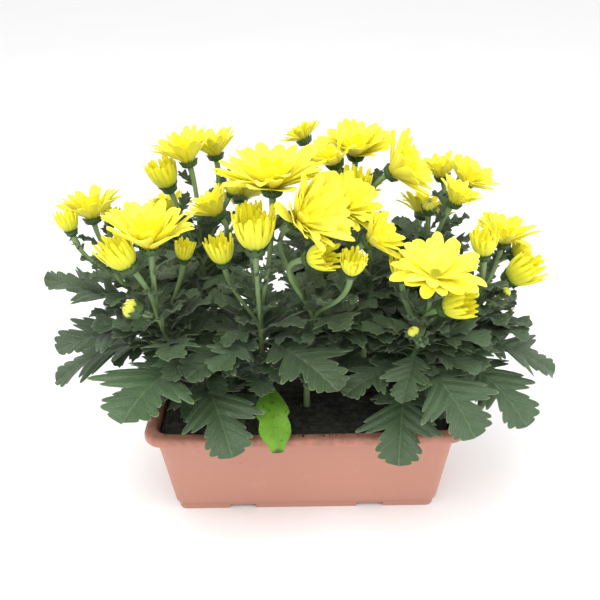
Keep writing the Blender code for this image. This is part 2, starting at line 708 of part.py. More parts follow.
def place_petals(name, taken):
    """Petals of an open bloom, each lifted or shortened until it touches no other node."""
    _, _, seat, width, heading, lean, rise = FLOWERS[name]
    axis = lean_axis(heading, lean)
    centre = Vector(seat) * MM + FIT_GAP * axis
    petals = []
    for angle, root, length, breadth, lift, curl in petal_layers(width, rise, random.Random(name)):
        for size, extra in [(s, e) for s in PETAL_SIZES for e in PETAL_LIFTS]:
            shape = (centre, axis, angle, root, length * size, breadth, lift + extra, curl)
            probe = petal_solid(*shape, PETAL_THICKNESS + 2 * PETAL_CLEARANCE)
            if taken.is_clear(*probe, lambda node, kind: node == name):
                petals.append(petal_solid(*shape, PETAL_THICKNESS))
                break
    for petal in petals:
        taken.add(name, "petal", *petal)
    return petals


def try_leaf(shoot, attach, tip, bend, breadth, taken):
    """Turn, lift or shrink a leaf until it is clear, and return it, or None."""
    reach = tip - attach
    for size in LEAF_SIZES:
        for lift in LEAF_LIFTS:
            for turn in LEAF_TURNS:
                level = Matrix.Rotation(math.radians(turn), 3, "Z") @ reach
                side = Vector((0, 0, 1)).cross(level).normalized()
                moved = Matrix.Rotation(math.radians(-lift), 3, side) @ level
                end = attach + size * moved
                if abs(end.x) > REACH_LIMIT_X or abs(end.y) > REACH_LIMIT_Y:
                    continue
                probe = leaf_solid(attach, end, bend, breadth, 2 * LEAF_CLEARANCE)
                if taken.is_clear(*probe, lambda node, kind: node == shoot and kind == "stem"):
                    return leaf_solid(attach, end, bend, breadth)
    return None


def spiral_leaves(shoot):
    """Leaf wishes up a stem: height, tip, bend and breadth of each, by the leaf spiral."""
    rng = random.Random(shoot + "_leaves")
    path = stem_path(shoot)
    top = path[-1].z
    start = rng.uniform(0, 360)
    wishes = []
    for i in range(SPIRAL_LEAVES):
        share = i / max(SPIRAL_LEAVES - 1, 1)
        height = SPIRAL_LOWEST + share * (top - SPIRAL_TOP_GAP - SPIRAL_LOWEST)
        attach = point_at_height(path, height)
        heading = math.radians(start + SPIRAL_TURN * i)
        length = LEAF_LENGTH_LOW + share * (LEAF_LENGTH_HIGH - LEAF_LENGTH_LOW)
        length = length * rng.uniform(*LEAF_LENGTH_DRAW)
        slope = math.radians(LEAF_SLOPE + LEAF_SLOPE_GAIN * share + rng.uniform(*LEAF_SLOPE_DRAW))
        reach = Vector((math.cos(heading) * math.cos(slope), math.sin(heading) * math.cos(slope),
                        math.sin(slope)))
        bend = rng.uniform(*LEAF_BEND_DRAW)
        wishes.append((attach, attach + length * reach, bend, rng.uniform(*LEAF_WIDTH_DRAW)))
    return wishes


# Joining the repeats of a node, and cutting holes

def combine(name, first, others, operation, material):
    """One applied Boolean of the first solid with a collection of the others, which is then removed."""
    for solver in ("EXACT", "MANIFOLD"):
        item = add_object(name, *first, material)
        if others:
            apply_boolean(item, others, operation, solver)
        closed = finish_mesh(item)
        if closed or solver == "MANIFOLD":
            item.name = name
            return item
        bpy.data.objects.remove(item, do_unlink=True)


def apply_boolean(item, others, operation, solver):
    group = bpy.data.collections.new(item.name + "_pieces")
    bpy.context.scene.collection.children.link(group)
    for points, faces in others:
        piece = add_object("piece", points, faces)
        bpy.context.scene.collection.objects.unlink(piece)
        group.objects.link(piece)
    boolean = item.modifiers.new("combine", "BOOLEAN")
    boolean.operation = operation
    boolean.operand_type = "COLLECTION"
    boolean.collection = group
    boolean.solver = solver
    bpy.context.view_layer.update()
    graph = bpy.context.evaluated_depsgraph_get()
    mesh = bpy.data.meshes.new_from_object(item.evaluated_get(graph))
    item.modifiers.clear()
    item.data = mesh
    for piece in list(group.objects):
        bpy.data.objects.remove(piece, do_unlink=True)
    bpy.data.collections.remove(group)


def finish_mesh(item):
    """Weld, drop loose scraps and sealed hollows, split into triangles; says whether it is closed."""
    bm = bmesh.new()
    bm.from_mesh(item.data)
    bmesh.ops.remove_doubles(bm, verts=bm.verts, dist=WELD_DISTANCE)
    bmesh.ops.dissolve_degenerate(bm, edges=bm.edges, dist=WELD_DISTANCE)
    shells = shells_of(bm)
    keep = max(shells, key=len)
    for shell in shells:
        if shell is not keep:
            bmesh.ops.delete(bm, geom=list(shell), context="FACES")
    bmesh.ops.triangulate(bm, faces=bm.faces)
    bmesh.ops.recalc_face_normals(bm, faces=bm.faces)
    closed = all(len(edge.link_faces) == 2 for edge in bm.edges)
    bm.to_mesh(item.data)
    bm.free()
    item.data.shade_smooth()
    item.data.set_sharp_from_angle(angle=math.radians(SHARP_EDGE))
    return closed


def shells_of(bm):
    left = set(bm.faces)
    shells = []
    while left:
        start = left.pop()
        shell = {start}
        edge_front = [start]
        while edge_front:
            face = edge_front.pop()
            for edge in face.edges:
                for other in edge.link_faces:
                    if other in left:
                        left.discard(other)
                        shell.add(other)
                        edge_front.append(other)
        shells.append(shell)
    return shells


def build_plant(green, yellow, bud_yellow):
    taken = Taken()
    pieces = {}
    for shoot in SHOOTS:
        path = stem_path(shoot)
        steps = len(path) - 1
        radii = [STEM_RADIUS_LOW + (STEM_RADIUS_FORK - STEM_RADIUS_LOW) * i / steps for i in range(len(path))]
        pieces[shoot] = [swept_tube(path, radii, STEM_SIDES)]
        taken.add(shoot, "stem", *pieces[shoot][0])
    for name, (_, shoot, *_) in FLOWERS.items():
        stalk = build_stalk(name, stem_path(shoot))
        pieces[shoot].append(stalk)
        taken.add(shoot, "stalk", *stalk)
    for name in FLOWERS:
        pieces[name] = [build_body(name)]
        taken.add(name, "body", *pieces[name][0])
    for name, (form, *_) in FLOWERS.items():
        if form == "open":
            pieces[name] += place_petals(name, taken)
    for shoot, height, tip, bend, breadth in PLACED_LEAVES:
        attach = point_at_height(stem_path(shoot), height * MM)
        add_leaf(shoot, (attach, Vector(tip) * MM, bend, breadth), pieces, taken)
    for shoot in SHOOTS:
        for wish in spiral_leaves(shoot):
            add_leaf(shoot, wish, pieces, taken)
    for name, solids in pieces.items():
        material = green if name in SHOOTS else bud_yellow if name.startswith("bud") else yellow
        combine(name, solids[0], solids[1:], "UNION", material)


def add_leaf(shoot, wish, pieces, taken):
    leaf = try_leaf(shoot, *wish, taken)
    if leaf is None:
        return
    pieces[shoot].append(leaf)
    taken.add(shoot, "leaf", *leaf)


def main():
    clear_scene()
    terracotta = paint("terracotta_plastic", (0.56, 0.26, 0.18), 0.45)
    soil_black = paint("dark_peat", (0.018, 0.016, 0.013), 0.95)
    leaf_green = paint("leaf_green", (0.045, 0.11, 0.04), 0.55)
    petal_yellow = paint("petal_yellow", (0.95, 0.84, 0.02), 0.5)
    bud_yellow = paint("bud_yellow", (0.62, 0.66, 0.06), 0.5)
    build_trough(terracotta)
    build_soil(soil_black)
    build_plant(leaf_green, petal_yellow, bud_yellow)


main()
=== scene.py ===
"""Pot chrysanthemum in a long plastic trough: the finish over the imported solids, and the young leaves.

Metres, +Z up. The trough's long side runs along X and its front faces -Y.
"""

import math
import random

import bpy
import bmesh
import numpy as np
from mathutils import Matrix, Vector, noise
from mathutils.bvhtree import BVHTree
from mathutils.kdtree import KDTree


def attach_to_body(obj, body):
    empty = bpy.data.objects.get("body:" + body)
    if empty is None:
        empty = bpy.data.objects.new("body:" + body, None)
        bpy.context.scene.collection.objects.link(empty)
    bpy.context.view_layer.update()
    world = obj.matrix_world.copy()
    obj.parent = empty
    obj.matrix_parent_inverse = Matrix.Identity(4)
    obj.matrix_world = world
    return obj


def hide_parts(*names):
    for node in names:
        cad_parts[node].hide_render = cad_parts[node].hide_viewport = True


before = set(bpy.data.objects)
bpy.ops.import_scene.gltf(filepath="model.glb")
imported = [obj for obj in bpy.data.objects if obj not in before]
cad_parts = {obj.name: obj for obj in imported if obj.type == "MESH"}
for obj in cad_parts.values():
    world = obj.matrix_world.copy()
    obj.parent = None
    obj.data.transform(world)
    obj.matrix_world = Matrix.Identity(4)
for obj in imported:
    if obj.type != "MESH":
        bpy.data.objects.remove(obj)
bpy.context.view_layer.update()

# Camera, table and light
# The trough stands on a white table in a bright white room, with a wide lamp above its front and a
# weaker one at its right. The camera looks down on it by about thirty degrees.

CAMERA_PLACE = (-0.0033, -0.603, 0.5558)
CAMERA_TILT = math.radians(90 - 29.73)
CAMERA_ROLL = math.radians(-0.864)
CAMERA_LENS = 45.0
CAMERA_SENSOR = 36.0
TABLE_SIZE = 14.0
TABLE_TONES = (0.90, 0.90, 0.905), (0.93, 0.93, 0.93)
ROOM_LIGHT = 1.0
LAMPS_AIM = Vector((0, 0, 0.15))
# Place, width and power (W) of each lamp
LAMPS = {
    "lamp_above": ((-0.35, -0.55, 1.55), 1.3, 19.0),
    "lamp_right": ((1.15, -0.60, 0.95), 0.9, 6.0),
}

camera_data = bpy.data.cameras.new("camera")
camera_data.lens = CAMERA_LENS
camera_data.sensor_width = CAMERA_SENSOR
camera = bpy.data.objects.new("camera", camera_data)
bpy.context.scene.collection.objects.link(camera)
camera.matrix_world = (Matrix.Translation(CAMERA_PLACE) @ Matrix.Rotation(CAMERA_TILT, 4, "X")
                       @ Matrix.Rotation(CAMERA_ROLL, 4, "Z"))
bpy.context.scene.camera = camera
bpy.context.scene.view_settings.view_transform = "Standard"

room = bpy.data.worlds.new("room")
room.use_nodes = True
room.node_tree.nodes["Background"].inputs["Color"].default_value = (1.0, 1.0, 1.0, 1.0)
room.node_tree.nodes["Background"].inputs["Strength"].default_value = ROOM_LIGHT
bpy.context.scene.world = room

for lamp_name, (place, width, power) in LAMPS.items():
    lamp_data = bpy.data.lights.new(lamp_name, "AREA")
    lamp_data.size = width
    lamp_data.energy = power
    lamp = bpy.data.objects.new(lamp_name, lamp_data)
    lamp.location = place
    lamp.rotation_euler = (LAMPS_AIM - Vector(place)).to_track_quat("-Z", "Y").to_euler()
    bpy.context.scene.collection.objects.link(lamp)


class Finish:
    """A material under construction, with short names for the nodes that its pattern is made of."""

    def __init__(self, name, roughness, **sockets):
        self.material = bpy.data.materials.new(name)
        self.material.use_nodes = True
        self.tree = self.material.node_tree
        self.shader = self.tree.nodes["Principled BSDF"]
        self.shader.inputs["Roughness"].default_value = roughness
        for socket, value in sockets.items():
            self.shader.inputs[socket.replace("_", " ")].default_value = value

    def node(self, kind, **settings):
        made = self.tree.nodes.new("ShaderNode" + kind)
        for key, value in settings.items():
            setattr(made, key, value)
        return made

    def put(self, value, socket):
        if isinstance(value, bpy.types.NodeSocket):
            self.tree.links.new(value, socket)
        else:
            socket.default_value = value

    def place(self):
        return self.node("TexCoord").outputs["Object"]

    def read(self, name):
        """The three numbers that the mesh keeps at each point under a name."""
        return self.split(self.node("Attribute", attribute_name=name).outputs["Vector"])

    def split(self, vector):
        parts = self.node("SeparateXYZ")
        self.put(vector, parts.inputs[0])
        return parts.outputs["X"], parts.outputs["Y"], parts.outputs["Z"]

    def math(self, operation, a, b=0.0, c=0.0):
        made = self.node("Math", operation=operation)
        for value, socket in zip((a, b, c), made.inputs):
            self.put(value, socket)
        return made.outputs[0]

    def step(self, value, low, high):
        """Smooth step from 0 at low to 1 at high."""
        made = self.node("MapRange", interpolation_type="SMOOTHSTEP")
        for number, socket in zip((value, low, high, 0.0, 1.0), made.inputs):
            self.put(number, socket)
        return made.outputs[0]

    def grain(self, scale, detail=3.0, vector=None, rough=0.5):
        made = self.node("TexNoise")
        self.put(self.place() if vector is None else vector, made.inputs["Vector"])
        made.inputs["Scale"].default_value = scale
        made.inputs["Detail"].default_value = detail
        made.inputs["Roughness"].default_value = rough
        return made.outputs[0]

    def cells(self, scale, vector=None, feature="F1"):
        made = self.node("TexVoronoi", feature=feature)
        self.put(self.place() if vector is None else vector, made.inputs["Vector"])
        made.inputs["Scale"].default_value = scale
        return made.outputs["Distance"]

    def vector(self, x, y, z):
        made = self.node("CombineXYZ")
        for value, socket in zip((x, y, z), made.inputs):
            self.put(value, socket)
        return made.outputs[0]

    def blend(self, share, first, second):
        made = self.node("Mix", data_type="RGBA")
        colours = [socket for socket in made.inputs if socket.type == "RGBA"]
        self.put(share, made.inputs["Factor"])
        for value, socket in zip((first, second), colours):
            self.put(value if isinstance(value, bpy.types.NodeSocket) else (*value, 1.0), socket)
        return next(socket for socket in made.outputs if socket.type == "RGBA")

    def coloured(self, colour):
        self.put(colour, self.shader.inputs["Base Color"])

    def roughened(self, value):
        self.put(value, self.shader.inputs["Roughness"])

    def bumped(self, height, depth, strength=1.0):
        bump = self.node("Bump")
        bump.inputs["Strength"].default_value = strength
        bump.inputs["Distance"].default_value = depth
        self.put(height, bump.inputs["Height"])
        self.put(bump.outputs[0], self.shader.inputs["Normal"])


class Skin:
    """Gathers the points, faces and kept numbers of one piece, and makes its mesh."""

    def __init__(self, name):
        self.name = name
        self.points = []
        self.faces = []
        self.kept = {}
        self.count = 0

    def add(self, points, faces, **kept):
        points = np.asarray(points, float).reshape(-1, 3)
        self.points.append(points)
        for block in faces:
            self.faces.append(np.asarray(block, int) + self.count)
        for key, values in kept.items():
            values = np.asarray(values, float)
            self.kept.setdefault(key, []).append(np.broadcast_to(values.reshape(-1, 3), points.shape))
        self.count += len(points)

    def piece(self, material, node, sharp=55):
        """Make the mesh, crisp where it bends by more than these degrees, for its node or for the stage."""
        sizes = np.concatenate([np.full(len(block), block.shape[1]) for block in self.faces])
        corners = np.concatenate([block.ravel() for block in self.faces])
        mesh = bpy.data.meshes.new(self.name)
        mesh.vertices.add(self.count)
        mesh.vertices.foreach_set("co", np.concatenate(self.points).astype(np.float32).ravel())
        mesh.loops.add(len(corners))
        mesh.loops.foreach_set("vertex_index", corners.astype(np.int32))
        mesh.polygons.add(len(sizes))
        mesh.polygons.foreach_set("loop_start", (np.cumsum(sizes) - sizes).astype(np.int32))
        mesh.update(calc_edges=True)
        for key, blocks in self.kept.items():
            kept = mesh.attributes.new(key, "FLOAT_VECTOR", "POINT")
            kept.data.foreach_set("vector", np.concatenate(blocks).astype(np.float32).ravel())
        mesh.materials.append(material)
        mesh.shade_smooth()
        mesh.set_sharp_from_angle(angle=math.radians(sharp))
        item = bpy.data.objects.new(self.name, mesh)
        bpy.context.scene.collection.objects.link(item)
        if node is None:
            return item
        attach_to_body(item, "root")
        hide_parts(node)
        return item


white_top = Finish("white_table", 0.85)
white_top.coloured(white_top.blend(white_top.grain(3.0), *TABLE_TONES))
table = Skin("table")
half = TABLE_SIZE / 2
table.add([(-half, -half, 0), (half, -half, 0), (half, half, 0), (-half, half, 0)], [[(0, 1, 2, 3)]])
table.piece(white_top.material, None)

# Planter trough
# A long trough of terracotta-coloured polypropylene, moulded in one shot: a rolled lip over a narrow
# collar, walls that taper down to a foot rim, and two shallow notches under each long side.

MM = 0.001
RIM_LENGTH = 0.300
RIM_WIDTH = 0.145
TROUGH_HEIGHT = 0.108
CORNER_RADIUS = 0.017
CORNER_TIGHTEN = 0.4
CORNER_RADIUS_LEAST = 0.004
CORNER_RADIUS_MOST = 0.95  # share of the half width there
CORNER_STEPS = 9
SIDE_STEPS = 14
FRONT_BOW = 0.0035
NOTCH_SPACING = 0.127
NOTCH_SIZE = (0.0265, 0.0050)
TROUGH_CRISP = 35
# Colours of the plastic, of what has marked it, and of its patchy darkening towards the foot
PLASTIC_TONES = (0.468, 0.214, 0.152), (0.510, 0.242, 0.176)
LIP_TONE = (0.493, 0.200, 0.132)
SCUFF_TONE = (0.57, 0.33, 0.26)
SCRATCH_TONE = (0.62, 0.40, 0.33)
SPECK_TONE = (0.10, 0.05, 0.04)
SMUDGE_TONE = (0.085, 0.050, 0.040)
LOW_DARKENING_TONE = (0.34, 0.20, 0.15)
# A long shallow scratch on the front wall: an arc's centre (x, z), its radius and where it fades out
SCRATCH_CENTRE = (0.038, 0.321)
SCRATCH_RADIUS = 0.277
SCRATCH_RIGHT_FADE = (-0.030, -0.055)
SCRATCH_LEFT_FADE = (-0.114, -0.104)
# Smudges of soil lie on the lip, down to this height. They stop outside its four corners, which are
# past both of these distances from the middle
SMUDGE_FROM_Y = (0.0665, 0.0600)
SMUDGE_FROM_X = (0.1435, 0.1385)
SMUDGE_FROM_Z = (0.098, 0.104)
# Inset from the rim's outer edge and height, from under the floor round the outside to the floor's top
TROUGH_PROFILE_MM = [
    (25.0, 5.8), (25.0, 0.4), (24.6, 0.0), (22.9, 0.0), (22.4, 0.5), (22.1, 6.9), (21.6, 8.5),
    (19.9, 10.0), (19.4, 11.4), (14.5, 52.0), (9.6, 91.6), (9.1, 92.8), (8.3, 93.4), (7.9, 94.3),
    (7.8, 97.5), (7.1, 98.4), (1.9, 98.5), (0.7, 99.0), (0.1, 100.2), (0.0, 102.5), (0.1, 104.8),
    (0.6, 106.2), (1.6, 107.3), (3.2, 107.9), (5.5, 108.0), (8.3, 107.9), (9.8, 107.2), (10.9, 105.9),
    (11.5, 104.2), (21.3, 13.0), (21.9, 10.2), (23.5, 8.5),
]


def outline_ring(inset, height, corner_steps=CORNER_STEPS, side_steps=SIDE_STEPS):
    """Rounded rectangle at an inset from the rim, whose long sides bow outward near the rim."""
    half_x = RIM_LENGTH / 2 - inset
    half_y = RIM_WIDTH / 2 - inset
    radius = max(CORNER_RADIUS - CORNER_TIGHTEN * inset, CORNER_RADIUS_LEAST)
    radius = min(radius, CORNER_RADIUS_MOST * half_y)
    bow = FRONT_BOW * max(height, 0.0) / TROUGH_HEIGHT
    points = []
    for corner, (sx, sy) in enumerate([(1, 1), (-1, 1), (-1, -1), (1, -1)]):
        for k in range(corner_steps + 1):
            angle = math.radians(90) * (corner + k / corner_steps)
            points.append((sx * (half_x - radius) + radius * math.cos(angle),
                           sy * (half_y - radius) + radius * math.sin(angle)))
        steps = side_steps if corner in (0, 2) else side_steps // 2
        following = [(-1, 1), (-1, -1), (1, -1), (1, 1)][corner]
        here = points[-1]
        turn = math.radians(90) * (corner + 1)
        there = (following[0] * (half_x - radius) + radius * math.cos(turn),
                 following[1] * (half_y - radius) + radius * math.sin(turn))
        for k in range(1, steps):
            share = k / steps
            points.append((here[0] + share * (there[0] - here[0]), here[1] + share * (there[1] - here[1])))
    ring = np.array(points)
    side = np.clip(ring[:, 1] / max(half_y - radius, 1e-4), -1.0, 1.0)
    ring[:, 1] += side * bow * (1 - (ring[:, 0] / half_x) ** 2)
    return np.column_stack([ring, np.full(len(ring), height)])


def ring_faces(levels, count, caps=True):
    """Faces of a tube of rings, wound to face outward where the rings run anticlockwise and rise."""
    low = np.arange(levels - 1)[:, None] * count
    here = np.arange(count)[None, :]
    there = (here + 1) % count
    quads = np.stack([low + here, low + there, low + count + there, low + count + here], -1).reshape(-1, 4)
    if not caps:
        return [quads]
    first = np.arange(count)[::-1][None, :]
    last = (levels - 1) * count + np.arange(count)[None, :]
    return [quads, first, last]


def notch_cutter(side):
    mesh = bpy.data.meshes.new("notch_cutter")
    shape = bmesh.new()
    bmesh.ops.create_cube(shape, size=1.0)
    bmesh.ops.scale(shape, vec=(NOTCH_SIZE[0], RIM_WIDTH, 2 * NOTCH_SIZE[1]), verts=shape.verts)
    shape.to_mesh(mesh)
    shape.free()
    cutter = bpy.data.objects.new("notch_cutter", mesh)
    cutter.location.x = side * NOTCH_SPACING / 2
    bpy.context.scene.collection.objects.link(cutter)
    return cutter


def cut(item, cutters):
    """Take the cutters' shapes out of an object, and remove the cutters."""
    for cutter in cutters:
        boolean = item.modifiers.new("cut", "BOOLEAN")
        boolean.operation = "DIFFERENCE"
        boolean.object = cutter
    bpy.context.view_layer.update()
    evaluated = item.evaluated_get(bpy.context.evaluated_depsgraph_get())
    mesh = bpy.data.meshes.new_from_object(evaluated)
    item.modifiers.clear()
    item.data = mesh
    for cutter in cutters:
        bpy.data.objects.remove(cutter, do_unlink=True)
    mesh.shade_smooth()
    mesh.set_sharp_from_angle(angle=math.radians(TROUGH_CRISP))


plastic = Finish("terracotta_plastic", 0.46)
plastic.shader.inputs["Specular IOR Level"].default_value = 0.38
x, y, z = plastic.split(plastic.place())
tone = plastic.blend(plastic.grain(9.0, 4.0), *PLASTIC_TONES)
lip = plastic.step(z, 0.0965, 0.0990)
tone = plastic.blend(plastic.math("MULTIPLY", lip, 0.55), tone, LIP_TONE)
pale = plastic.step(plastic.grain(34.0, 6.0, rough=0.7), 0.56, 0.74)
tone = plastic.blend(plastic.math("MULTIPLY", pale, 0.25), tone, SCUFF_TONE)
arc_x = plastic.math("SUBTRACT", x, SCRATCH_CENTRE[0])
arc_z = plastic.math("SUBTRACT", z, SCRATCH_CENTRE[1])
arc_reach = plastic.math("SQRT", plastic.math("ADD", plastic.math("MULTIPLY", arc_x, arc_x),
                                              plastic.math("MULTIPLY", arc_z, arc_z)))
arc_line = plastic.math("ABSOLUTE", plastic.math("SUBTRACT", arc_reach, SCRATCH_RADIUS))
scratch = plastic.math("SUBTRACT", 1.0, plastic.step(arc_line, 0.0002, 0.0007))
scratch = plastic.math("MULTIPLY", scratch, plastic.step(x, *SCRATCH_RIGHT_FADE))
scratch = plastic.math("MULTIPLY", scratch, plastic.step(x, *SCRATCH_LEFT_FADE))
scratch = plastic.math("MULTIPLY", scratch, plastic.step(y, 0.0, -0.010))
tone = plastic.blend(plastic.math("MULTIPLY", scratch, 0.16), tone, SCRATCH_TONE)
speck = plastic.math("SUBTRACT", 1.0, plastic.step(plastic.cells(52.0), 0.035, 0.075))
speck = plastic.math("MULTIPLY", speck, plastic.step(plastic.grain(21.0), 0.52, 0.60))
tone = plastic.blend(plastic.math("MULTIPLY", speck, 0.75), tone, SPECK_TONE)
inward = plastic.math("MAXIMUM", plastic.step(plastic.math("ABSOLUTE", y), *SMUDGE_FROM_Y),
                      plastic.step(plastic.math("ABSOLUTE", x), *SMUDGE_FROM_X))
inward = plastic.math("MULTIPLY", inward, plastic.step(z, *SMUDGE_FROM_Z))
smudge = plastic.math("MULTIPLY", inward, plastic.step(plastic.grain(48.0, 5.0, rough=0.65), 0.42, 0.66))
tone = plastic.blend(plastic.math("MULTIPLY", smudge, 0.45), tone, SMUDGE_TONE)
# Darker in patches towards the foot
darker_low = plastic.math("MULTIPLY", plastic.step(z, 0.022, 0.004), plastic.grain(60.0, 4.0))
tone = plastic.blend(plastic.math("MULTIPLY", darker_low, 0.30), tone, LOW_DARKENING_TONE)
plastic.coloured(tone)
plastic.roughened(plastic.math("MULTIPLY_ADD", plastic.grain(70.0, 5.0), 0.22, 0.36))
plastic.bumped(plastic.math("ADD", plastic.grain(620.0, 2.0), plastic.grain(45.0, 2.0)), 0.00012, 0.5)

trough = Skin("trough")
rings = [outline_ring(inset * MM, height * MM) for inset, height in TROUGH_PROFILE_MM]
trough.add(np.concatenate(rings), ring_faces(len(rings), len(rings[0])))
trough_piece = trough.piece(plastic.material, "planter_trough", sharp=TROUGH_CRISP)
cut(trough_piece, [notch_cutter(-1), notch_cutter(1)])

# Potting soil
# Dark moist peat, filled to within a centimetre of the lip's top and a little higher away from the
# walls. The top is loose crumbs, some of them spilled on the lip.

METRE_IN_MM = 1000
SOIL_GAP = 0.0003
SOIL_SIDE_MM = [(24.0, 8.9), (22.1, 11.6), (12.9, 99.0)]
SOIL_TOP_MM = [(12.9, 99.3), (16.0, 101.4), (22.0, 102.5), (38.0, 104.0), (56.0, 103.0), (72.0, 102.6)]
SOIL_RING_STEP_MM = 1.3
SOIL_MIDDLE_MM = 71.6
SOIL_LEVEL = 0.104
SOIL_CORNER_STEPS = 10
SOIL_SIDE_STEPS = 34
# Depth of the lumps of each size, how many there are to a metre, and a shift that sets them apart
SOIL_LUMPS = [(0.0022, 55.0, (0, 0, 0)), (0.0015, 190.0, (7, 0, 0)), (0.0007, 520.0, (0, 9, 0))]
PEAT_TONES = (0.026, 0.025, 0.023), (0.074, 0.070, 0.062)
FIBRE_TONE = (0.11, 0.085, 0.055)
CRUMBS = 1000
CRUMB_SIZE_MM = (0.5, 1.9)
CRUMB_FIELD = (0.136, 0.0585)
CRUMB_STANDS = 0.3
SMALL_CRUMBS = 1.6
CRUMB_STRETCH = (0.7, 1.3)
CRUMB_FLATNESS = (0.55, 0.9)
CRUMB_LUMPS = (0.8, 1.2)
ANY_TURN = (0, 6.28)
# Spilled crumbs are smaller. Half of them lie near the middle of the length, and most along the front
SPILLED = 150
SPILLED_SIZE = 0.55
SPILLED_AT_FRONT = 0.75
SPILL_MIDDLE = (0.004, 0.016)
SPILL_REACH = 0.130
SPILL_INSET = (0.0035, 0.0100)
SPILL_STANDS = 0.35
SPILL_SINKS = 0.0001


def soil_height(px, py, inset):
    """Top of the bed at a point that lies this far inside the rim's edge (mm)."""
    base = np.interp(inset, [d for d, _ in SOIL_TOP_MM], [h for _, h in SOIL_TOP_MM]) * MM
    height = base
    for depth, scale, shift in SOIL_LUMPS:
        height += depth * noise.noise(Vector((px, py, 0.0)) * scale + Vector(shift))
    return height


peat = Finish("dark_peat", 0.92)
peat.shader.inputs["Specular IOR Level"].default_value = 0.2
clods = peat.blend(peat.step(peat.grain(140.0, 6.0, rough=0.7), 0.35, 0.70), *PEAT_TONES)
fibre = peat.step(peat.cells(420.0), 0.10, 0.03)
peat.coloured(peat.blend(peat.math("MULTIPLY", fibre, 0.5), clods, FIBRE_TONE))
peat.bumped(peat.grain(520.0, 6.0, rough=0.75), 0.0008, 0.9)

bed = Skin("soil_bed")
levels = [outline_ring(inset * MM + SOIL_GAP, height * MM, SOIL_CORNER_STEPS, SOIL_SIDE_STEPS)
          for inset, height in SOIL_SIDE_MM]
inset = SOIL_SIDE_MM[-1][0]
while inset < SOIL_MIDDLE_MM:
    ring = outline_ring(inset * MM + SOIL_GAP, SOIL_LEVEL, SOIL_CORNER_STEPS, SOIL_SIDE_STEPS)
    ring[:, 2] = [soil_height(px, py, inset) for px, py, _ in ring]
    levels.append(ring)
    inset += SOIL_RING_STEP_MM
bed.add(np.concatenate(levels), ring_faces(len(levels), len(levels[0])))
bed.piece(peat.material, "potting_soil", sharp=70)

crumb_shape = bmesh.new()
bmesh.ops.create_icosphere(crumb_shape, subdivisions=1, radius=1.0)
crumb_points = np.array([corner.co for corner in crumb_shape.verts])
crumb_faces = np.array([[corner.index for corner in face.verts] for face in crumb_shape.faces])
crumb_shape.free()

draw = random.Random("crumbs")
crumbs = Skin("soil_crumbs")
for i in range(CRUMBS + SPILLED):
    size = MM * CRUMB_SIZE_MM[0] * (CRUMB_SIZE_MM[1] / CRUMB_SIZE_MM[0]) ** draw.random() ** SMALL_CRUMBS
    if i < CRUMBS:
        px = draw.uniform(-CRUMB_FIELD[0], CRUMB_FIELD[0])
        py = draw.uniform(-CRUMB_FIELD[1], CRUMB_FIELD[1])
        inset = METRE_IN_MM * min(RIM_LENGTH / 2 - abs(px), RIM_WIDTH / 2 - abs(py))
        pz = soil_height(px, py, inset) + CRUMB_STANDS * size
    else:
        side = -1 if draw.random() < SPILLED_AT_FRONT else 1
        px = draw.gauss(*SPILL_MIDDLE) if i % 2 else draw.uniform(-SPILL_REACH, SPILL_REACH)
        bow = FRONT_BOW * (1 - (px / (RIM_LENGTH / 2)) ** 2)
        py = side * (RIM_WIDTH / 2 + bow - draw.uniform(*SPILL_INSET))
        size *= SPILLED_SIZE
        pz = TROUGH_HEIGHT - SPILL_SINKS + SPILL_STANDS * size
    turn = np.array(Matrix.Rotation(draw.uniform(*ANY_TURN), 3, (draw.random(), draw.random(), 1)))
    stretch = np.array([draw.uniform(*CRUMB_STRETCH), draw.uniform(*CRUMB_STRETCH),
                        draw.uniform(*CRUMB_FLATNESS)])
    lump = np.array([draw.uniform(*CRUMB_LUMPS) for _ in crumb_points])[:, None]
    crumbs.add((crumb_points * lump * stretch * size) @ turn.T + (px, py, pz), [crumb_faces])
crumbs.piece(peat.material, "potting_soil", sharp=40)

# Stems
# Each shoot is one grown piece: a ribbed green stem that stands in the soil, and the stalks that
# branch from it to the flowers, each widening into a shallow green cup of overlapping bracts.

STEM_SIDES = 12
STEM_FOOT = 0.0700
STEM_STRAIGHT_TO = 0.1120
STEM_RADIUS_LOW = 0.0030
STEM_RADIUS_FORK = 0.0022
STALK_RADIUS = 0.0018
STEM_STEPS = 4
FOOT_PULL = 0.3
CURVE_PULL = 0.35
STALK_START = 0.75
RIB = 0.10
STEM_FINE_STEPS = 22
STALK_STEPS = 16
# Slight thickenings along a stem: height, how many waves of them, and how short each is
KNOT_HEIGHT = 0.00022
KNOT_WAVES = 24
KNOT_SHORTNESS = 8
# Shares of a stalk's length, and its radius there as a share of STALK_RADIUS
STALK_FLARE = [(0.0, 0.92), (0.50, 1.0), (0.85, 1.12), (1.0, 1.45)]
CUP_ROWS = 7
CUP_SIDES = 20
# Shares of the green cup's depth, and its radius at the last three as a share of its lip's
CUP_HEIGHTS = [0.0, 0.12, 0.35, 1.0]
CUP_WIDTHS = [0.5, 0.82, 0.985]
CUP_FOOT = 1.3  # share of STALK_RADIUS
# Radius at the lip of the green cup and its depth, by form of flower
CUP_FORMS_MM = {"open": (8.2, 6.2), "cup": (6.2, 5.5), "bud": (5.2, 4.5)}
# A flower's scale: the share that every width has, and what each mm of width adds
FLOWER_SCALES = {"open": (0.80, 0.20 / 76), "cup": (0.0, 1 / 25), "bud": (0.0, 1 / 13)}
# Foot and tip of each row of bracts, as shares of the cup's depth, and their number
BRACT_ROWS = {
    "open": [(0.10, 0.72, 9), (0.30, 1.04, 13), (0.42, 1.24, 15)],
    "cup": [(0.10, 0.75, 8), (0.30, 1.10, 11), (0.50, 1.48, 12)],
    "bud": [(0.10, 0.90, 7), (0.35, 1.45, 9), (0.60, 2.05, 9)],
}
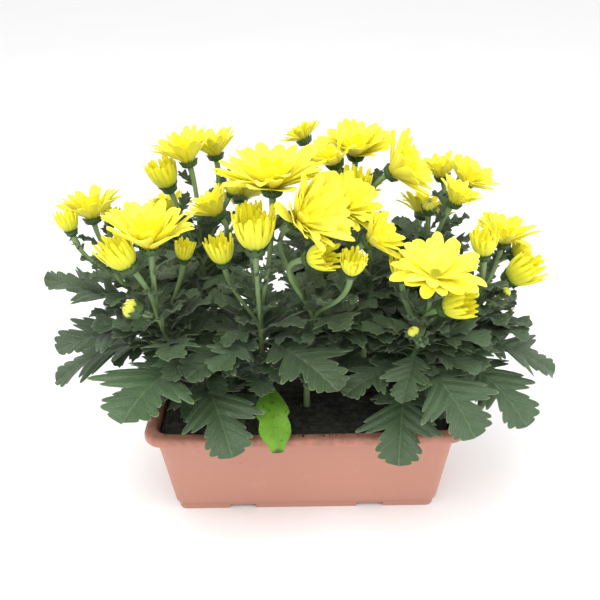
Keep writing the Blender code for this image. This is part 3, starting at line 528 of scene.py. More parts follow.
# Heights and radii of the surface that the bracts lie on, as shares of the cup's depth and lip radius
BRACT_SURFACES = {
    "open": ([0.0, 0.35, 1.0, 1.3], [0.30, 0.84, 1.03, 1.12]),
    "cup": ([0.0, 0.35, 1.0, 1.55, 1.9], [0.30, 0.84, 1.00, 1.36, 1.55]),
    "bud": ([0.0, 0.35, 1.0, 1.4, 1.76, 2.2], [0.30, 0.86, 1.02, 1.20, 1.31, 1.32]),
}

# Half-width of a bract at each of its rows as a share of its widest, its points across, how far it lies
# over its neighbours and bends round, its thickness and stand-off (m), and how the bracts differ
BRACT_WIDTHS = np.array([0.80, 1.0, 0.70, 0.06])
BRACT_COLUMNS = np.array([-1.0, 0.0, 1.0])
BRACT_OVERLAP = 1.25
BRACT_ARCH = 0.12
BRACT_THICKNESS = 0.00028
BRACT_STANDS_OFF = 0.00025
BRACT_TURN_DRAW = 0.12
BRACT_TOP_DRAW = (0.92, 1.10)
# The stem's finish turns to the bracts' darker green between tints of 1.5 and 2.5
BRACT_TINT = 3.0
STEM_TONES = (0.120, 0.205, 0.072), (0.205, 0.300, 0.118)
RIB_TONE = (0.25, 0.34, 0.15)
BRACT_TONES = (0.030, 0.070, 0.022), (0.070, 0.130, 0.040)

# Foot x and y, fork x, y and z (mm)
SHOOTS = {
    "shoot_01": ((-118, -8), (-150, -22, 236)),
    "shoot_02": ((-92, -20), (-122, -52, 212)),
    "shoot_03": ((-80, 24), (-95, 28, 240)),
    "shoot_04": ((-38, -22), (-38, -50, 215)),
    "shoot_05": ((2, -18), (8, -48, 222)),
    "shoot_06": ((20, 26), (24, 32, 240)),
    "shoot_07": ((58, 8), (62, -4, 236)),
    "shoot_08": ((88, -24), (100, -60, 204)),
    "shoot_09": ((106, 18), (120, 20, 240)),
    "shoot_10": ((122, -10), (150, -25, 205)),
    "shoot_11": ((-108, 36), (-118, 62, 196)),
    "shoot_12": ((84, 38), (96, 70, 200)),
}

# Form, shoot, seat (mm), width (mm), heading and lean of its axis and rise of its outer petals (degrees)
FLOWERS = {
    "bloom_01": ("open", "shoot_01", (-181, -5, 299), 60, 140, 12, 36),
    "bloom_02": ("open", "shoot_02", (-117, -85, 308), 77, 90, 5, 32),
    "bloom_03": ("open", "shoot_03", (-99, 28, 337), 54, 165, 12, 45),
    "bloom_04": ("open", "shoot_03", (-79, 62, 331), 50, 150, 10, 42),
    "bloom_05": ("open", "shoot_03", (-73, 0, 299), 44, 170, 34, 48),
    "bloom_06": ("open", "shoot_04", (-23, -70, 348), 93, 90, 4, 21),
    "bloom_07": ("open", "shoot_06", (3, 100, 332), 43, 150, 30, 28),
    "bloom_08": ("open", "shoot_05", (-5, -92, 331), 76, 325, 52, 36),
    "bloom_09": ("open", "shoot_05", (32, -52, 323), 60, 320, 42, 30),
    "bloom_10": ("open", "shoot_07", (52, -72, 305), 48, 345, 52, 38),
    "bloom_11": ("open", "shoot_06", (47, 24, 342), 64, 280, 8, 34),
    "bloom_12": ("open", "shoot_06", (28, 4, 342), 54, 190, 24, 34),
    "bloom_13": ("open", "shoot_07", (75, -8, 337), 64, 345, 55, 40),
    "bloom_14": ("open", "shoot_09", (146, 34, 310), 54, 350, 28, 34),
    "bloom_15": ("open", "shoot_09", (129, -8, 310), 38, 350, 26, 46),
    "bloom_16": ("open", "shoot_10", (177, 0, 267), 58, 40, 8, 34),
    "bloom_17": ("open", "shoot_10", (192, 12, 249), 44, 350, 62, 34),
    "bloom_18": ("open", "shoot_08", (100, -99, 286), 74, 280, 15, 17),
    "bloom_19": ("open", "shoot_11", (-132, 88, 262), 60, 115, 36, 20),
    "bloom_20": ("open", "shoot_11", (-62, 106, 270), 64, 90, 40, 16),
    "bloom_21": ("open", "shoot_12", (50, 104, 272), 64, 85, 42, 18),
    "bloom_22": ("open", "shoot_12", (120, 90, 256), 58, 60, 36, 24),
    "bloom_23": ("open", "shoot_09", (133, 70, 304), 44, 160, 14, 44),
    "half_open_01": ("cup", "shoot_01", (-195, -24, 295), 20, 150, 14, 0),
    "half_open_02": ("cup", "shoot_01", (-172, 14, 285), 18, 40, 12, 0),
    "half_open_03": ("cup", "shoot_02", (-133, -92, 296), 29, 190, 30, 0),
    "half_open_04": ("cup", "shoot_02", (-100, -42, 276), 18, 20, 10, 0),
    "half_open_05": ("cup", "shoot_03", (-119, 30, 313), 29, 190, 16, 0),
    "half_open_06": ("cup", "shoot_03", (-65, 34, 303), 14, 20, 30, 0),
    "half_open_07": ("cup", "shoot_04", (-36, -100, 314), 34, 265, 4, 0),
    "half_open_08": ("cup", "shoot_04", (-43, -46, 306), 23, 90, 2, 0),
    "half_open_09": ("cup", "shoot_04", (-65, -60, 282), 25, 200, 8, 0),
    "half_open_10": ("cup", "shoot_05", (4, -106, 307), 24, 330, 68, 0),
    "half_open_11": ("cup", "shoot_05", (35, -112, 298), 21, 285, 18, 0),
    "half_open_12": ("cup", "shoot_06", (43, -12, 316), 28, 300, 10, 0),
    "half_open_13": ("cup", "shoot_10", (148, -52, 281), 24, 200, 6, 0),
    "half_open_14": ("cup", "shoot_10", (179, -30, 247), 32, 335, 46, 0),
    "half_open_15": ("cup", "shoot_08", (110, -96, 257), 28, 330, 58, 0),
    "half_open_16": ("cup", "shoot_08", (79, -72, 272), 22, 250, 10, 0),
    "bud_01": ("bud", "shoot_02", (-131, -98, 260), 16, 190, 60, 0),
    "bud_02": ("bud", "shoot_01", (-154, -64, 290), 11, 150, 10, 0),
    "bud_03": ("bud", "shoot_09", (110, 2, 298), 13, 260, 4, 0),
    "bud_04": ("bud", "shoot_10", (170, -48, 242), 9, 350, 40, 0),
    "bud_05": ("bud", "shoot_10", (138, -72, 254), 8, 300, 30, 0),
    "bud_06": ("bud", "shoot_08", (87, -104, 238), 10, 190, 30, 0),
}


def bezier(a, b, c, d, steps):
    points = []
    for i in range(steps + 1):
        t = i / steps
        s = 1 - t
        points.append(s ** 3 * a + 3 * s * s * t * b + 3 * s * t * t * c + t ** 3 * d)
    return points


def stem_path(shoot, steps=STEM_STEPS):
    foot, fork = SHOOTS[shoot]
    start = Vector((foot[0] * MM, foot[1] * MM, STEM_STRAIGHT_TO))
    end = Vector(fork) * MM
    reach = (end - start).length
    curve = bezier(start, start + Vector((0, 0, FOOT_PULL * reach)), end - CURVE_PULL * (end - start),
                   end, steps)
    return [Vector((start.x, start.y, STEM_FOOT))] + curve


def across(direction):
    """Two unit directions square to a direction, the first as level as it can be."""
    direction = direction.normalized()
    guide = Vector((0, 0, 1)) if abs(direction.z) < 0.95 else Vector((1, 0, 0))
    side = guide.cross(direction).normalized()
    return side, direction.cross(side).normalized()


def lean_axis(heading, lean):
    turn = math.radians(heading)
    tilt = math.radians(lean)
    return Vector((math.sin(tilt) * math.cos(turn), math.sin(tilt) * math.sin(turn), math.cos(tilt)))


def flower_scale(form, width):
    fixed, per_mm = FLOWER_SCALES[form]
    return fixed + per_mm * width


def ribbed_tube(skin, path, radii, tint=0.0, rib=RIB, sides=STEM_SIDES, keep=None):
    """Tube with lengthwise ribs. Its mesh keeps how far up a point is, whether on a rib, and the tint."""
    rings = []
    kept = []
    side = None
    run = 0.0
    for i, centre in enumerate(path):
        direction = (path[min(i + 1, len(path) - 1)] - path[max(i - 1, 0)]).normalized()
        if side is None:
            side, other = across(direction)
        else:
            side = (side - side.dot(direction) * direction).normalized()
            other = direction.cross(side).normalized()
        run += (centre - path[i - 1]).length if i else 0.0
        for k in range(sides):
            angle = 2 * math.pi * k / sides
            radius = float(radii[i]) * (1 + rib * (0.5 if k % 2 else -0.5))
            rings.append(centre + radius * (math.cos(angle) * side + math.sin(angle) * other))
            kept.append((run, k % 2, tint))
    skin.add(rings, ring_faces(len(path), sides), **(keep or {"stem": kept}))


def sheet_faces(rows, columns):
    """Faces of a thin closed sheet: its upper grid, the same grid below, and the edge between them."""
    above = np.arange(rows * columns).reshape(rows, columns)
    below = above + rows * columns

    def quads(grid):
        return np.stack([grid[:-1, :-1], grid[1:, :-1], grid[1:, 1:], grid[:-1, 1:]], -1).reshape(-1, 4)

    rim = np.concatenate([above[:, 0], above[-1, 1:], above[-2::-1, -1], above[0, -2:0:-1]])
    under = rim + rows * columns
    edge = np.stack([np.roll(rim, -1), rim, under, np.roll(under, -1)], -1)
    return [quads(above), quads(below)[:, ::-1], edge]


def bract_row(skin, centre, axis, radius, depth, form, row, draw):
    """One row of the small pointed scales that lie over each other round the cup."""
    low, high, count = row
    side, other = across(axis)
    rows = np.linspace(0, 1, len(BRACT_WIDTHS))
    q = BRACT_COLUMNS
    shape = np.stack([np.repeat(rows, len(q)), np.tile(np.abs(q), len(rows)),
                      np.full(len(rows) * len(q), BRACT_TINT)], -1)
    for i in range(count):
        angle = 2 * math.pi * (i + draw.uniform(-BRACT_TURN_DRAW, BRACT_TURN_DRAW)) / count
        outward = np.array(math.cos(angle) * side + math.sin(angle) * other)
        round_ = np.cross(np.array(axis), outward)
        top = high * draw.uniform(*BRACT_TOP_DRAW)
        height = depth * (low + (top - low) * rows)
        reach = radius * np.interp(height / depth, *BRACT_SURFACES[form]) + BRACT_STANDS_OFF
        breadth = BRACT_OVERLAP * math.pi * radius / count * BRACT_WIDTHS
        spots = (np.array(centre) + height[:, None, None] * np.array(axis)
                 + (reach[:, None] - BRACT_ARCH * breadth[:, None] * q[None, :] ** 2)[..., None] * outward
                 + (breadth[:, None] * q[None, :])[..., None] * round_)
        inner = spots - BRACT_THICKNESS * outward
        # Columns run round the cup and rows run up it, so the first grid is the one that faces the cup
        skin.add(np.concatenate([inner.reshape(-1, 3), spots.reshape(-1, 3)]),
                 sheet_faces(len(rows), len(q)), stem=np.concatenate([shape, shape]))


def stalk_path(name, steps):
    """Curve from the fork to the foot of the flower's green cup, with the cup's place and size."""
    form, shoot, seat, width, heading, lean, _ = FLOWERS[name]
    path = stem_path(shoot)
    axis = lean_axis(heading, lean)
    scale = flower_scale(form, width)
    lip_radius = CUP_FORMS_MM[form][0] * MM * scale
    depth = CUP_FORMS_MM[form][1] * MM * scale
    base = Vector(seat) * MM - depth * axis
    fork = path[-1]
    low = path[-2].lerp(fork, STALK_START)
    reach = (base - low).length
    up = (fork - path[-2]).normalized()
    outward = (base - low).normalized()
    pull = CURVE_PULL * reach
    curve = bezier(low, low + pull * (up + outward).normalized(), base - pull * axis, base, steps)
    return curve, axis, base, lip_radius, depth


green_stem = Finish("green_stem", 0.52)
run, on_rib, stem_tint = green_stem.read("stem")
streak = green_stem.grain(1.0, 3.0, green_stem.vector(green_stem.math("MULTIPLY", run, 45.0),
                                                      green_stem.math("MULTIPLY", on_rib, 3.0), stem_tint))
stem_tone = green_stem.blend(green_stem.step(streak, 0.35, 0.65), *STEM_TONES)
stem_tone = green_stem.blend(green_stem.math("MULTIPLY", on_rib, 0.30), stem_tone, RIB_TONE)
dark_bract = green_stem.step(stem_tint, 1.5, 2.5)
bract_tone = green_stem.blend(green_stem.grain(300.0, 2.0), *BRACT_TONES)
green_stem.coloured(green_stem.blend(dark_bract, stem_tone, bract_tone))
green_stem.bumped(green_stem.grain(900.0, 2.0), 0.0002, 0.35)

for shoot in SHOOTS:
    draw = random.Random(shoot)
    skin = Skin("stems_" + shoot[-2:])
    path = stem_path(shoot, STEM_FINE_STEPS)
    share = np.linspace(0, 1, len(path))
    knots = KNOT_HEIGHT * np.abs(np.sin(share * KNOT_WAVES)) ** KNOT_SHORTNESS
    radii = STEM_RADIUS_LOW + (STEM_RADIUS_FORK - STEM_RADIUS_LOW) * share + knots
    ribbed_tube(skin, path, radii, draw.random())
    for name, (form, owner, *_) in FLOWERS.items():
        if owner != shoot:
            continue
        curve, axis, base, lip_radius, depth = stalk_path(name, STALK_STEPS)
        shares = np.linspace(0, 1, len(curve))
        flare = np.interp(shares, *zip(*STALK_FLARE))
        ribbed_tube(skin, curve, STALK_RADIUS * flare, draw.random())
        rise = np.linspace(0, 1, CUP_ROWS)
        cup = [base + depth * float(h) * axis for h in rise]
        cup_radii = np.interp(rise, CUP_HEIGHTS,
                              [STALK_RADIUS * CUP_FOOT] + [width * lip_radius for width in CUP_WIDTHS])
        ribbed_tube(skin, cup, cup_radii, BRACT_TINT, rib=0.0, sides=CUP_SIDES)
        for row in BRACT_ROWS[form]:
            bract_row(skin, base, axis, lip_radius, depth, form, row, draw)
    skin.piece(green_stem.material, shoot)

# Leaves
# Each leaf grows on its own stalk from a stem: a thin blade cut into two pairs of side lobes and a
# broad end lobe, all with rounded teeth, with a sunk midrib, side veins and a pale hard margin whose
# paleness is partly painted highlight along the edge.

LEAF_FOLD = 0.22
LEAF_SHEAR = 0.68
LEAF_THICKNESS = 0.00045
LEAF_STALK_THICKNESS = 0.0017
LEAF_STALK = [(0.0, 0.014), (0.05, 0.014), (0.10, 0.015), (0.15, 0.018)]
# Start and end along the midrib, reach sideways (shares of the leaf's length), where in its stretch a
# lobe is widest, its number of teeth, and the blade's half-width where it starts and ends
LEAF_LOBES = [
    (0.186, 0.370, 0.285, 0.36, 2, 0.026, 0.085),
    (0.370, 0.610, 0.365, 0.44, 3, 0.085, 0.118),
    (0.610, 1.000, 0.198, 0.32, 4, 0.118, 0.004),
]
TOOTH_DEPTH = 0.23
# How full a lobe is up to its widest and beyond, and how sharp the notches between its teeth are
LOBE_RISE = 0.8
LOBE_FALL = 0.75
NOTCH_SHARPNESS = 1.5
ROWS_PER_TOOTH = 5
LEAF_COLUMNS = np.array([-1.0, -0.78, -0.50, -0.22, -0.05, 0.0, 0.05, 0.22, 0.50, 0.78, 1.0])
SPIRAL_TURN = 137.5
SPIRAL_LEAVES = 3
SPIRAL_LOWEST = 0.192
LEAF_LENGTH_LOW = 0.072
LEAF_LENGTH_HIGH = 0.062
LEAF_TURNS = [0, 14, -14, 28, -28, 44, -44, 62, -62]
LEAF_LIFTS = [0, 14, -12]
LEAF_SIZES = [1.0, 0.82, 0.66]
REACH_LIMIT_X = 0.228
REACH_LIMIT_Y = 0.136
# Points of a solid leaf's outline that tell which turn and size it took, and the solid's thickness
TELLTALES = [(1.00, 0.0), (0.36, 0.270), (0.36, -0.270), (0.66, 0.345), (0.66, -0.345)]
SOLID_THICKNESS = 0.0008
TELLTALE_MISS = 0.00025
TELLTALES_NEEDED = 6
# Leaf wishes of the spiral: their length, slope and its gain up the stem, bend and breadth
SPIRAL_TOP_GAP = 0.008
SPIRAL_LENGTH_DRAW = (0.9, 1.1)
SPIRAL_SLOPE = -8
SPIRAL_SLOPE_GAIN = 30
SPIRAL_SLOPE_DRAW = (-8, 8)
SPIRAL_BEND = (30, 55)
SPIRAL_BREADTH = (0.85, 1.1)
LOBE_REACH_DRAW = (0.92, 1.05)
# Where along the midrib something begins, and the stretch over which it grows to its full measure
END_LOBE_FROM = (0.63, 0.37)
SHEAR_FROM = (0.12, 0.06)
BREADTH_FROM = (0.10, 0.08)
BLADE_FROM = (0.17, 0.05)
SLANT_FROM = (0.2, 1.0)
END_LOBE_LESS_SHEAR = 0.55
# Slant of the side veins at the foot, and how much it grows
VEIN_SLANT = 0.05
VEIN_SLANT_GAIN = 0.5
TIP_OVERRUN = 1.004
THICKNESS_STATIONS = [0.0, 0.12, 0.26, 1.0]
# How far a midrib sinks and how wide its groove is, how the edges droop, the height and number of the
# edge's waves, the height, first furrow and spacing of the quilting between the side veins, and how
# much thinner the edge is
MIDRIB_SINK = 0.0007
MIDRIB_WIDTH = 0.0015
EDGE_DROOP = 0.11
WAVE_HEIGHT = 0.0019
WAVES = (2.0, 3.2)
OTHER_SIDE_PHASE = 1.7
QUILT_HEIGHT = 0.00055
QUILT_START = 0.196
QUILT_SPACING = 0.105
QUILT_PHASE = 1.57
EDGE_THINNING = 0.3
# Where the side veins leave the midrib, as the mesh keeps them, and how strongly each shows
LEAF_VEINS = [(0.150, 0.35), (0.200, 0.90), (0.265, 0.35), (0.330, 0.40), (0.406, 1.00), (0.480, 0.45),
              (0.560, 0.50), (0.640, 0.65), (0.729, 0.80), (0.830, 0.55)]
VEIN_WIDTH = 0.010
# Dark and light of the upper side, veins, under side, and margin, whose paleness is partly painted highlight
# along the edge
GREEN_LEAF_TONES = ((0.040, 0.068, 0.033), (0.056, 0.112, 0.042), (0.130, 0.205, 0.088),
                    (0.110, 0.165, 0.085), (0.290, 0.370, 0.160))
# Large leaves are lighter low on the plant: heights, and what each adds to the tint
TINT_HEIGHTS = [0.13, 0.25]
TINT_ADDED = [0.25, -0.10]
MIDDLE_TINT = 0.35
TINT_DRAW = (-0.32, 0.32)

# Shoot, height on its stem, tip x, y, z (mm), bend along the blade (degrees), breadth
PLACED_LEAVES = [
    ("shoot_01", 226, (-221, -26, 276), 12, 0.80),
    ("shoot_01", 212, (-222, -36, 256), 15, 1.10),
    ("shoot_01", 178, (-227, -44, 154), 50, 0.90),
    ("shoot_01", 190, (-210, -70, 205), 40, 1.10),
    ("shoot_01", 140, (-176, -52, 122), 45, 0.90),
    ("shoot_02", 166, (-146, -134, 178), 50, 1.20),
    ("shoot_02", 150, (-62, -122, 130), 60, 0.95),
    ("shoot_02", 190, (-106, -118, 226), 40, 0.80),
    ("shoot_04", 182, (-98, -100, 196), 50, 1.10),
    ("shoot_04", 196, (26, -118, 194), 40, 1.05),
    ("shoot_04", 146, (-24, -108, 122), 55, 0.75),
    ("shoot_04", 206, (-80, -66, 226), 30, 0.70),
    ("shoot_08", 168, (32, -100, 176), 35, 0.80),
    ("shoot_08", 152, (78, -122, 118), 50, 1.05),
    ("shoot_08", 180, (138, -128, 152), 50, 1.15),
    ("shoot_08", 196, (112, -118, 214), 40, 0.85),
    ("shoot_10", 165, (190, -100, 140), 45, 1.00),
    ("shoot_10", 184, (226, -48, 158), 40, 1.05),
    ("shoot_10", 198, (227, 2, 188), 25, 0.85),
    ("shoot_09", 200, (204, 24, 198), 35, 0.95),
    ("shoot_09", 236, (165, 60, 262), 25, 0.70),
    ("shoot_07", 228, (86, 40, 282), 20, 0.80),
    ("shoot_05", 190, (58, -100, 214), 40, 0.95),
    ("shoot_07", 200, (76, -78, 212), 45, 0.95),
    ("shoot_05", 214, (-24, -92, 246), 30, 0.85),
    ("shoot_05", 216, (40, -20, 252), 25, 0.95),
    ("shoot_06", 226, (66, -26, 250), 30, 0.90),
    ("shoot_03", 222, (-60, -34, 240), 30, 0.85),
    ("shoot_11", 150, (-150, 128, 158), 50, 1.10),
    ("shoot_11", 172, (-86, 132, 190), 40, 1.00),
    ("shoot_11", 184, (-180, 92, 214), 30, 0.90),
    ("shoot_03", 226, (-130, 62, 264), 20, 0.90),
    ("shoot_03", 215, (-150, 72, 246), 25, 0.85),
    ("shoot_03", 136, (-152, 66, 126), 45, 1.00),
    ("shoot_06", 220, (-18, 74, 256), 25, 1.00),
    ("shoot_06", 190, (64, 102, 204), 40, 1.00),
    ("shoot_06", 206, (-32, 90, 224), 35, 0.90),
    ("shoot_12", 188, (66, 128, 172), 40, 1.10),
    ("shoot_12", 170, (140, 130, 170), 45, 1.10),
    ("shoot_12", 186, (40, 128, 216), 35, 0.90),
    ("shoot_09", 160, (180, 84, 150), 45, 1.10),
    ("shoot_09", 192, (154, 92, 214), 35, 0.90),
    ("shoot_10", 150, (208, 32, 138), 45, 1.00),
    ("shoot_07", 226, (34, -40, 264), 25, 0.80),
    ("shoot_06", 236, (-16, -6, 268), 25, 0.80),
    ("shoot_03", 234, (-52, 20, 276), 20, 0.75),
    ("shoot_09", 232, (90, -30, 262), 25, 0.75),
    ("shoot_03", 204, (-44, 62, 236), 25, 0.95),
    ("shoot_07", 206, (24, -14, 232), 25, 0.95),
    ("shoot_04", 210, (-70, -14, 250), 20, 0.90),
    ("shoot_09", 222, (72, 50, 252), 25, 0.90),
    ("shoot_10", 203, (96, -28, 240), 25, 0.90),
]
YELLOWING_TIP = (-24, -108, 122)


class Leaf:
    """A leaf's midrib, an arc in an upright plane from its stem to its tip."""

    def __init__(self, attach, tip, bend, breadth, stalk=LEAF_STALK_THICKNESS):
        chord = tip - attach
        level = Vector((chord.x, chord.y, 0)).normalized()
        self.attach = np.array(attach)
        self.level = np.array(level)
        self.lateral = np.array(Vector((0, 0, 1)).cross(level))
        self.slope = math.asin(max(-1.0, min(1.0, chord.z / chord.length)))
        self.bend = math.radians(bend)
        self.arc = chord.length * (self.bend / 2) / math.sin(self.bend / 2)
        self.breadth = breadth
        self.stalk = stalk

    def points(self, along, out, lift):
        """Points at shares along the midrib, metres to the side and metres off the folded blade."""
        part = self.bend * along
        half = self.slope + self.bend / 2 - part / 2
        turn = self.slope + self.bend / 2 - part
        straight = self.arc * along * np.sinc(part / (2 * math.pi))
        up = np.array([0.0, 0.0, 1.0])
        spot = self.attach + (straight * np.cos(half))[..., None] * self.level
        spot = spot + (straight * np.sin(half))[..., None] * up + out[..., None] * self.lateral
        normal = np.cos(turn)[..., None] * up - np.sin(turn)[..., None] * self.level
        return spot + (LEAF_FOLD * np.abs(out) + lift)[..., None] * normal


def point_at_height(path, height):
    for low, high in zip(path, path[1:]):
        if low.z <= height <= high.z:
            return low.lerp(high, (height - low.z) / (high.z - low.z))
    return path[-1].copy()


def spiral_leaves(shoot):
    """Leaf wishes up a stem by the leaf spiral: where each starts, its tip, bend and breadth."""
    draw = random.Random(shoot + "_leaves")
    path = stem_path(shoot)
    start = draw.uniform(0, 360)
    wishes = []
    for i in range(SPIRAL_LEAVES):
        share = i / (SPIRAL_LEAVES - 1)
        height = SPIRAL_LOWEST + share * (path[-1].z - SPIRAL_TOP_GAP - SPIRAL_LOWEST)
        attach = point_at_height(path, height)
        heading = math.radians(start + SPIRAL_TURN * i)
        length = LEAF_LENGTH_LOW + share * (LEAF_LENGTH_HIGH - LEAF_LENGTH_LOW)
        length *= draw.uniform(*SPIRAL_LENGTH_DRAW)
        slope = math.radians(SPIRAL_SLOPE + SPIRAL_SLOPE_GAIN * share + draw.uniform(*SPIRAL_SLOPE_DRAW))
        reach = Vector((math.cos(heading) * math.cos(slope), math.sin(heading) * math.cos(slope),
                        math.sin(slope)))
        wishes.append((attach, attach + length * reach, draw.uniform(*SPIRAL_BEND),
                       draw.uniform(*SPIRAL_BREADTH)))
    return wishes


def turned_tips(attach, tip):
    """Tips that a leaf may take, in the order in which the solid tried them."""
    for size in LEAF_SIZES:
        for lift in LEAF_LIFTS:
            for turn in LEAF_TURNS:
                level = Matrix.Rotation(math.radians(turn), 3, "Z") @ (tip - attach)
                side = Vector((0, 0, 1)).cross(level).normalized()
                end = attach + size * (Matrix.Rotation(math.radians(-lift), 3, side) @ level)
                if abs(end.x) <= REACH_LIMIT_X and abs(end.y) <= REACH_LIMIT_Y:
                    yield end


def as_built(wish, corners):
    """The leaf as the solid has it, found by its outline's corners, or None if it isn't there."""
    attach, tip, bend, breadth = wish
    along = np.array([a for a, _ in TELLTALES] * 2)
    sideways = np.array([o for _, o in TELLTALES] * 2)
    off = np.repeat([SOLID_THICKNESS / 2, -SOLID_THICKNESS / 2], len(TELLTALES))
    for end in turned_tips(attach, tip):
        leaf = Leaf(attach, end, bend, breadth)
        spots = leaf.points(along, sideways * breadth * leaf.arc, off)
        found = sum(corners.find(spot)[2] < TELLTALE_MISS for spot in spots)
        if found >= TELLTALES_NEEDED:
            return leaf
    return None


def leaf_rows(draw, rows_per_tooth, lobes):
    """Stations along the midrib, and the blade's half-width there to one side (shares of the length)."""
    rows = list(LEAF_STALK)
    for start, end, reach, widest, teeth, web_start, web_end in lobes:
        reach = reach * draw.uniform(*LOBE_REACH_DRAW)
        steps = teeth * rows_per_tooth
        for k in range(steps):
            p = k / steps
            web = web_start + (web_end - web_start) * p
            if p < widest:
                hump = math.sin(0.5 * math.pi * p / widest) ** LOBE_RISE
            else:
                hump = math.cos(0.5 * math.pi * (p - widest) / (1 - widest)) ** LOBE_FALL
            notch = (1 - abs(math.sin(math.pi * teeth * p))) ** NOTCH_SHARPNESS if k else 0.0
            half = (web + (reach - web) * hump) * (1 - TOOTH_DEPTH * notch)
            rows.append((start + (end - start) * p, half))
    rows.append((1.0, lobes[-1][-1]))
    return np.array(rows).T


def grown(u, start, stretch):
    """Share from 0 to 1 of what begins at a place along the midrib and grows over a stretch of it."""
    return np.clip((u - start) / stretch, 0, 1)


def add_blade(skin, leaf, draw, tint, columns=LEAF_COLUMNS, rows_per_tooth=ROWS_PER_TOOTH, lobes=LEAF_LOBES):
    """The cut blade on its stalk, quilted between its veins and a little uneven."""
    stations, left = leaf_rows(draw, rows_per_tooth, lobes)
    _, right = leaf_rows(draw, rows_per_tooth, lobes)
    q = columns[None, :]
    u = np.repeat(stations[:, None], len(columns), axis=1)
    width = np.where(q < 0, left[:, None], right[:, None])
    late = grown(u, *END_LOBE_FROM)
    shear = LEAF_SHEAR * grown(u, *SHEAR_FROM) * (1 - END_LOBE_LESS_SHEAR * late ** 2)
    sideways = q * width
    along = np.clip(u + shear * np.abs(sideways), 0, TIP_OVERRUN)
    breadth = 1 + (leaf.breadth - 1) * grown(u, *BREADTH_FROM)
    out = sideways * breadth * leaf.arc
    vein = u - np.abs(sideways) * (VEIN_SLANT + VEIN_SLANT_GAIN * grown(u, *SLANT_FROM))
    blade = grown(u, *BLADE_FROM)
    phase = draw.uniform(*ANY_TURN)
    waves = draw.uniform(*WAVES)
    side_phase = np.where(q < 0, OTHER_SIDE_PHASE, 0.0)
    lift = -MIDRIB_SINK * blade * np.exp(-(out / MIDRIB_WIDTH) ** 2)
    lift = lift - EDGE_DROOP * np.abs(out) * q ** 2 * blade
    lift = lift + WAVE_HEIGHT * blade * np.abs(q) * np.sin(2 * math.pi * waves * u + phase + side_phase)
    quilt = np.sin(2 * math.pi * (vein - QUILT_START) / QUILT_SPACING - QUILT_PHASE)
    lift = lift + QUILT_HEIGHT * blade * quilt * (1 - q ** 2)
    thick = np.interp(u, THICKNESS_STATIONS, [leaf.stalk, leaf.stalk, LEAF_THICKNESS, LEAF_THICKNESS])
    thick = thick * (1 - EDGE_THINNING * np.abs(q) * blade)
    above = leaf.points(along, out, lift + 0.5 * thick)
    below = leaf.points(along, out, lift - 0.5 * thick)
    shape = np.stack([vein, sideways, np.broadcast_to(np.abs(q), u.shape)], -1).reshape(-1, 3)
    upper = np.stack([np.full(u.size, tint), np.zeros(u.size), u.ravel()], -1)
    lower = upper + (0.0, 1.0, 0.0)
    skin.add(np.concatenate([above.reshape(-1, 3), below.reshape(-1, 3)]), sheet_faces(*u.shape),
             blade=np.concatenate([shape, shape]), leaf=np.concatenate([upper, lower]))


def leaf_finish(name, dark, light, vein_colour, under_colour, margin_and_highlight_colour, roughness):
    """Living leaf: mottled green, pale veins and a pale margin that is partly painted edge highlight, a fine
    net between the veins, paler below.
    """
    made = Finish(name, roughness)
    vein, sideways, edge = made.read("blade")
    tint, under, along = made.read("leaf")
    mottle = made.step(made.grain(70.0, 4.0), 0.30, 0.72)
    tone = made.blend(made.math("MULTIPLY_ADD", tint, 0.75, made.math("MULTIPLY", mottle, 0.30)), dark, light)
    on_blade = made.step(along, 0.17, 0.22)
    reach = made.math("ABSOLUTE", sideways)
    rib = made.math("SUBTRACT", 1.0, made.step(reach, 0.004, 0.013))
    ramp = made.node("ValToRGB")
    ramp.color_ramp.interpolation = "EASE"
    stops = []
    for spot, strength in LEAF_VEINS:
        stops += [(spot - VEIN_WIDTH, 0.0), (spot, strength), (spot + VEIN_WIDTH, 0.0)]
    elements = ramp.color_ramp.elements
    elements[0].position = 0.0
    elements[0].color = (0, 0, 0, 1)
    elements[1].position = 1.0
    elements[1].color = (0, 0, 0, 1)
    for spot, strength in stops:
        stop = elements.new(min(max(spot, 0.001), 0.999))
        stop.color = (strength, strength, strength, 1)
    made.put(vein, ramp.inputs["Fac"])
    veins = made.math("MULTIPLY", made.split(ramp.outputs["Color"])[0], made.step(edge, 0.98, 0.60))
    lines = made.math("MULTIPLY", made.math("MAXIMUM", rib, veins), on_blade)
    flat = made.vector(vein, sideways, tint)
    net = made.cells(46.0, flat, "DISTANCE_TO_EDGE")
    tone = made.blend(made.math("MULTIPLY", made.step(net, 0.10, 0.02), 0.18), tone, vein_colour)
    tone = made.blend(made.math("MULTIPLY", lines, 0.50), tone, vein_colour)
    # The pale margin is partly the leaf's own and partly painted highlight along its edge
    margin_and_highlight = made.math("MULTIPLY", made.step(edge, 0.95, 1.0), on_blade)
    tone = made.blend(made.math("MULTIPLY", margin_and_highlight, 0.55), tone, margin_and_highlight_colour)
    stalk = made.math("SUBTRACT", 1.0, on_blade)
    tone = made.blend(made.math("MULTIPLY", stalk, 0.8), tone, vein_colour)
    below = made.blend(made.math("MULTIPLY", lines, 0.5), under_colour, vein_colour)
    made.coloured(made.blend(made.math("MULTIPLY", under, 0.85), tone, below))
    made.roughened(made.math("MULTIPLY_ADD", made.grain(160.0, 3.0), 0.18, roughness - 0.09))
    relief = made.math("SUBTRACT", made.math("MULTIPLY", made.step(net, 0.0, 0.16), 0.5),
                       made.math("MULTIPLY", lines, 0.9))
    made.bumped(relief, 0.0007, 0.65)
    made.shader.inputs["Specular IOR Level"].default_value = 0.45
    made.shader.inputs["Sheen Weight"].default_value = 0.12
    made.shader.inputs["Sheen Roughness"].default_value = 0.40
    return made


leaf_green = leaf_finish("leaf_green", *GREEN_LEAF_TONES, 0.42)

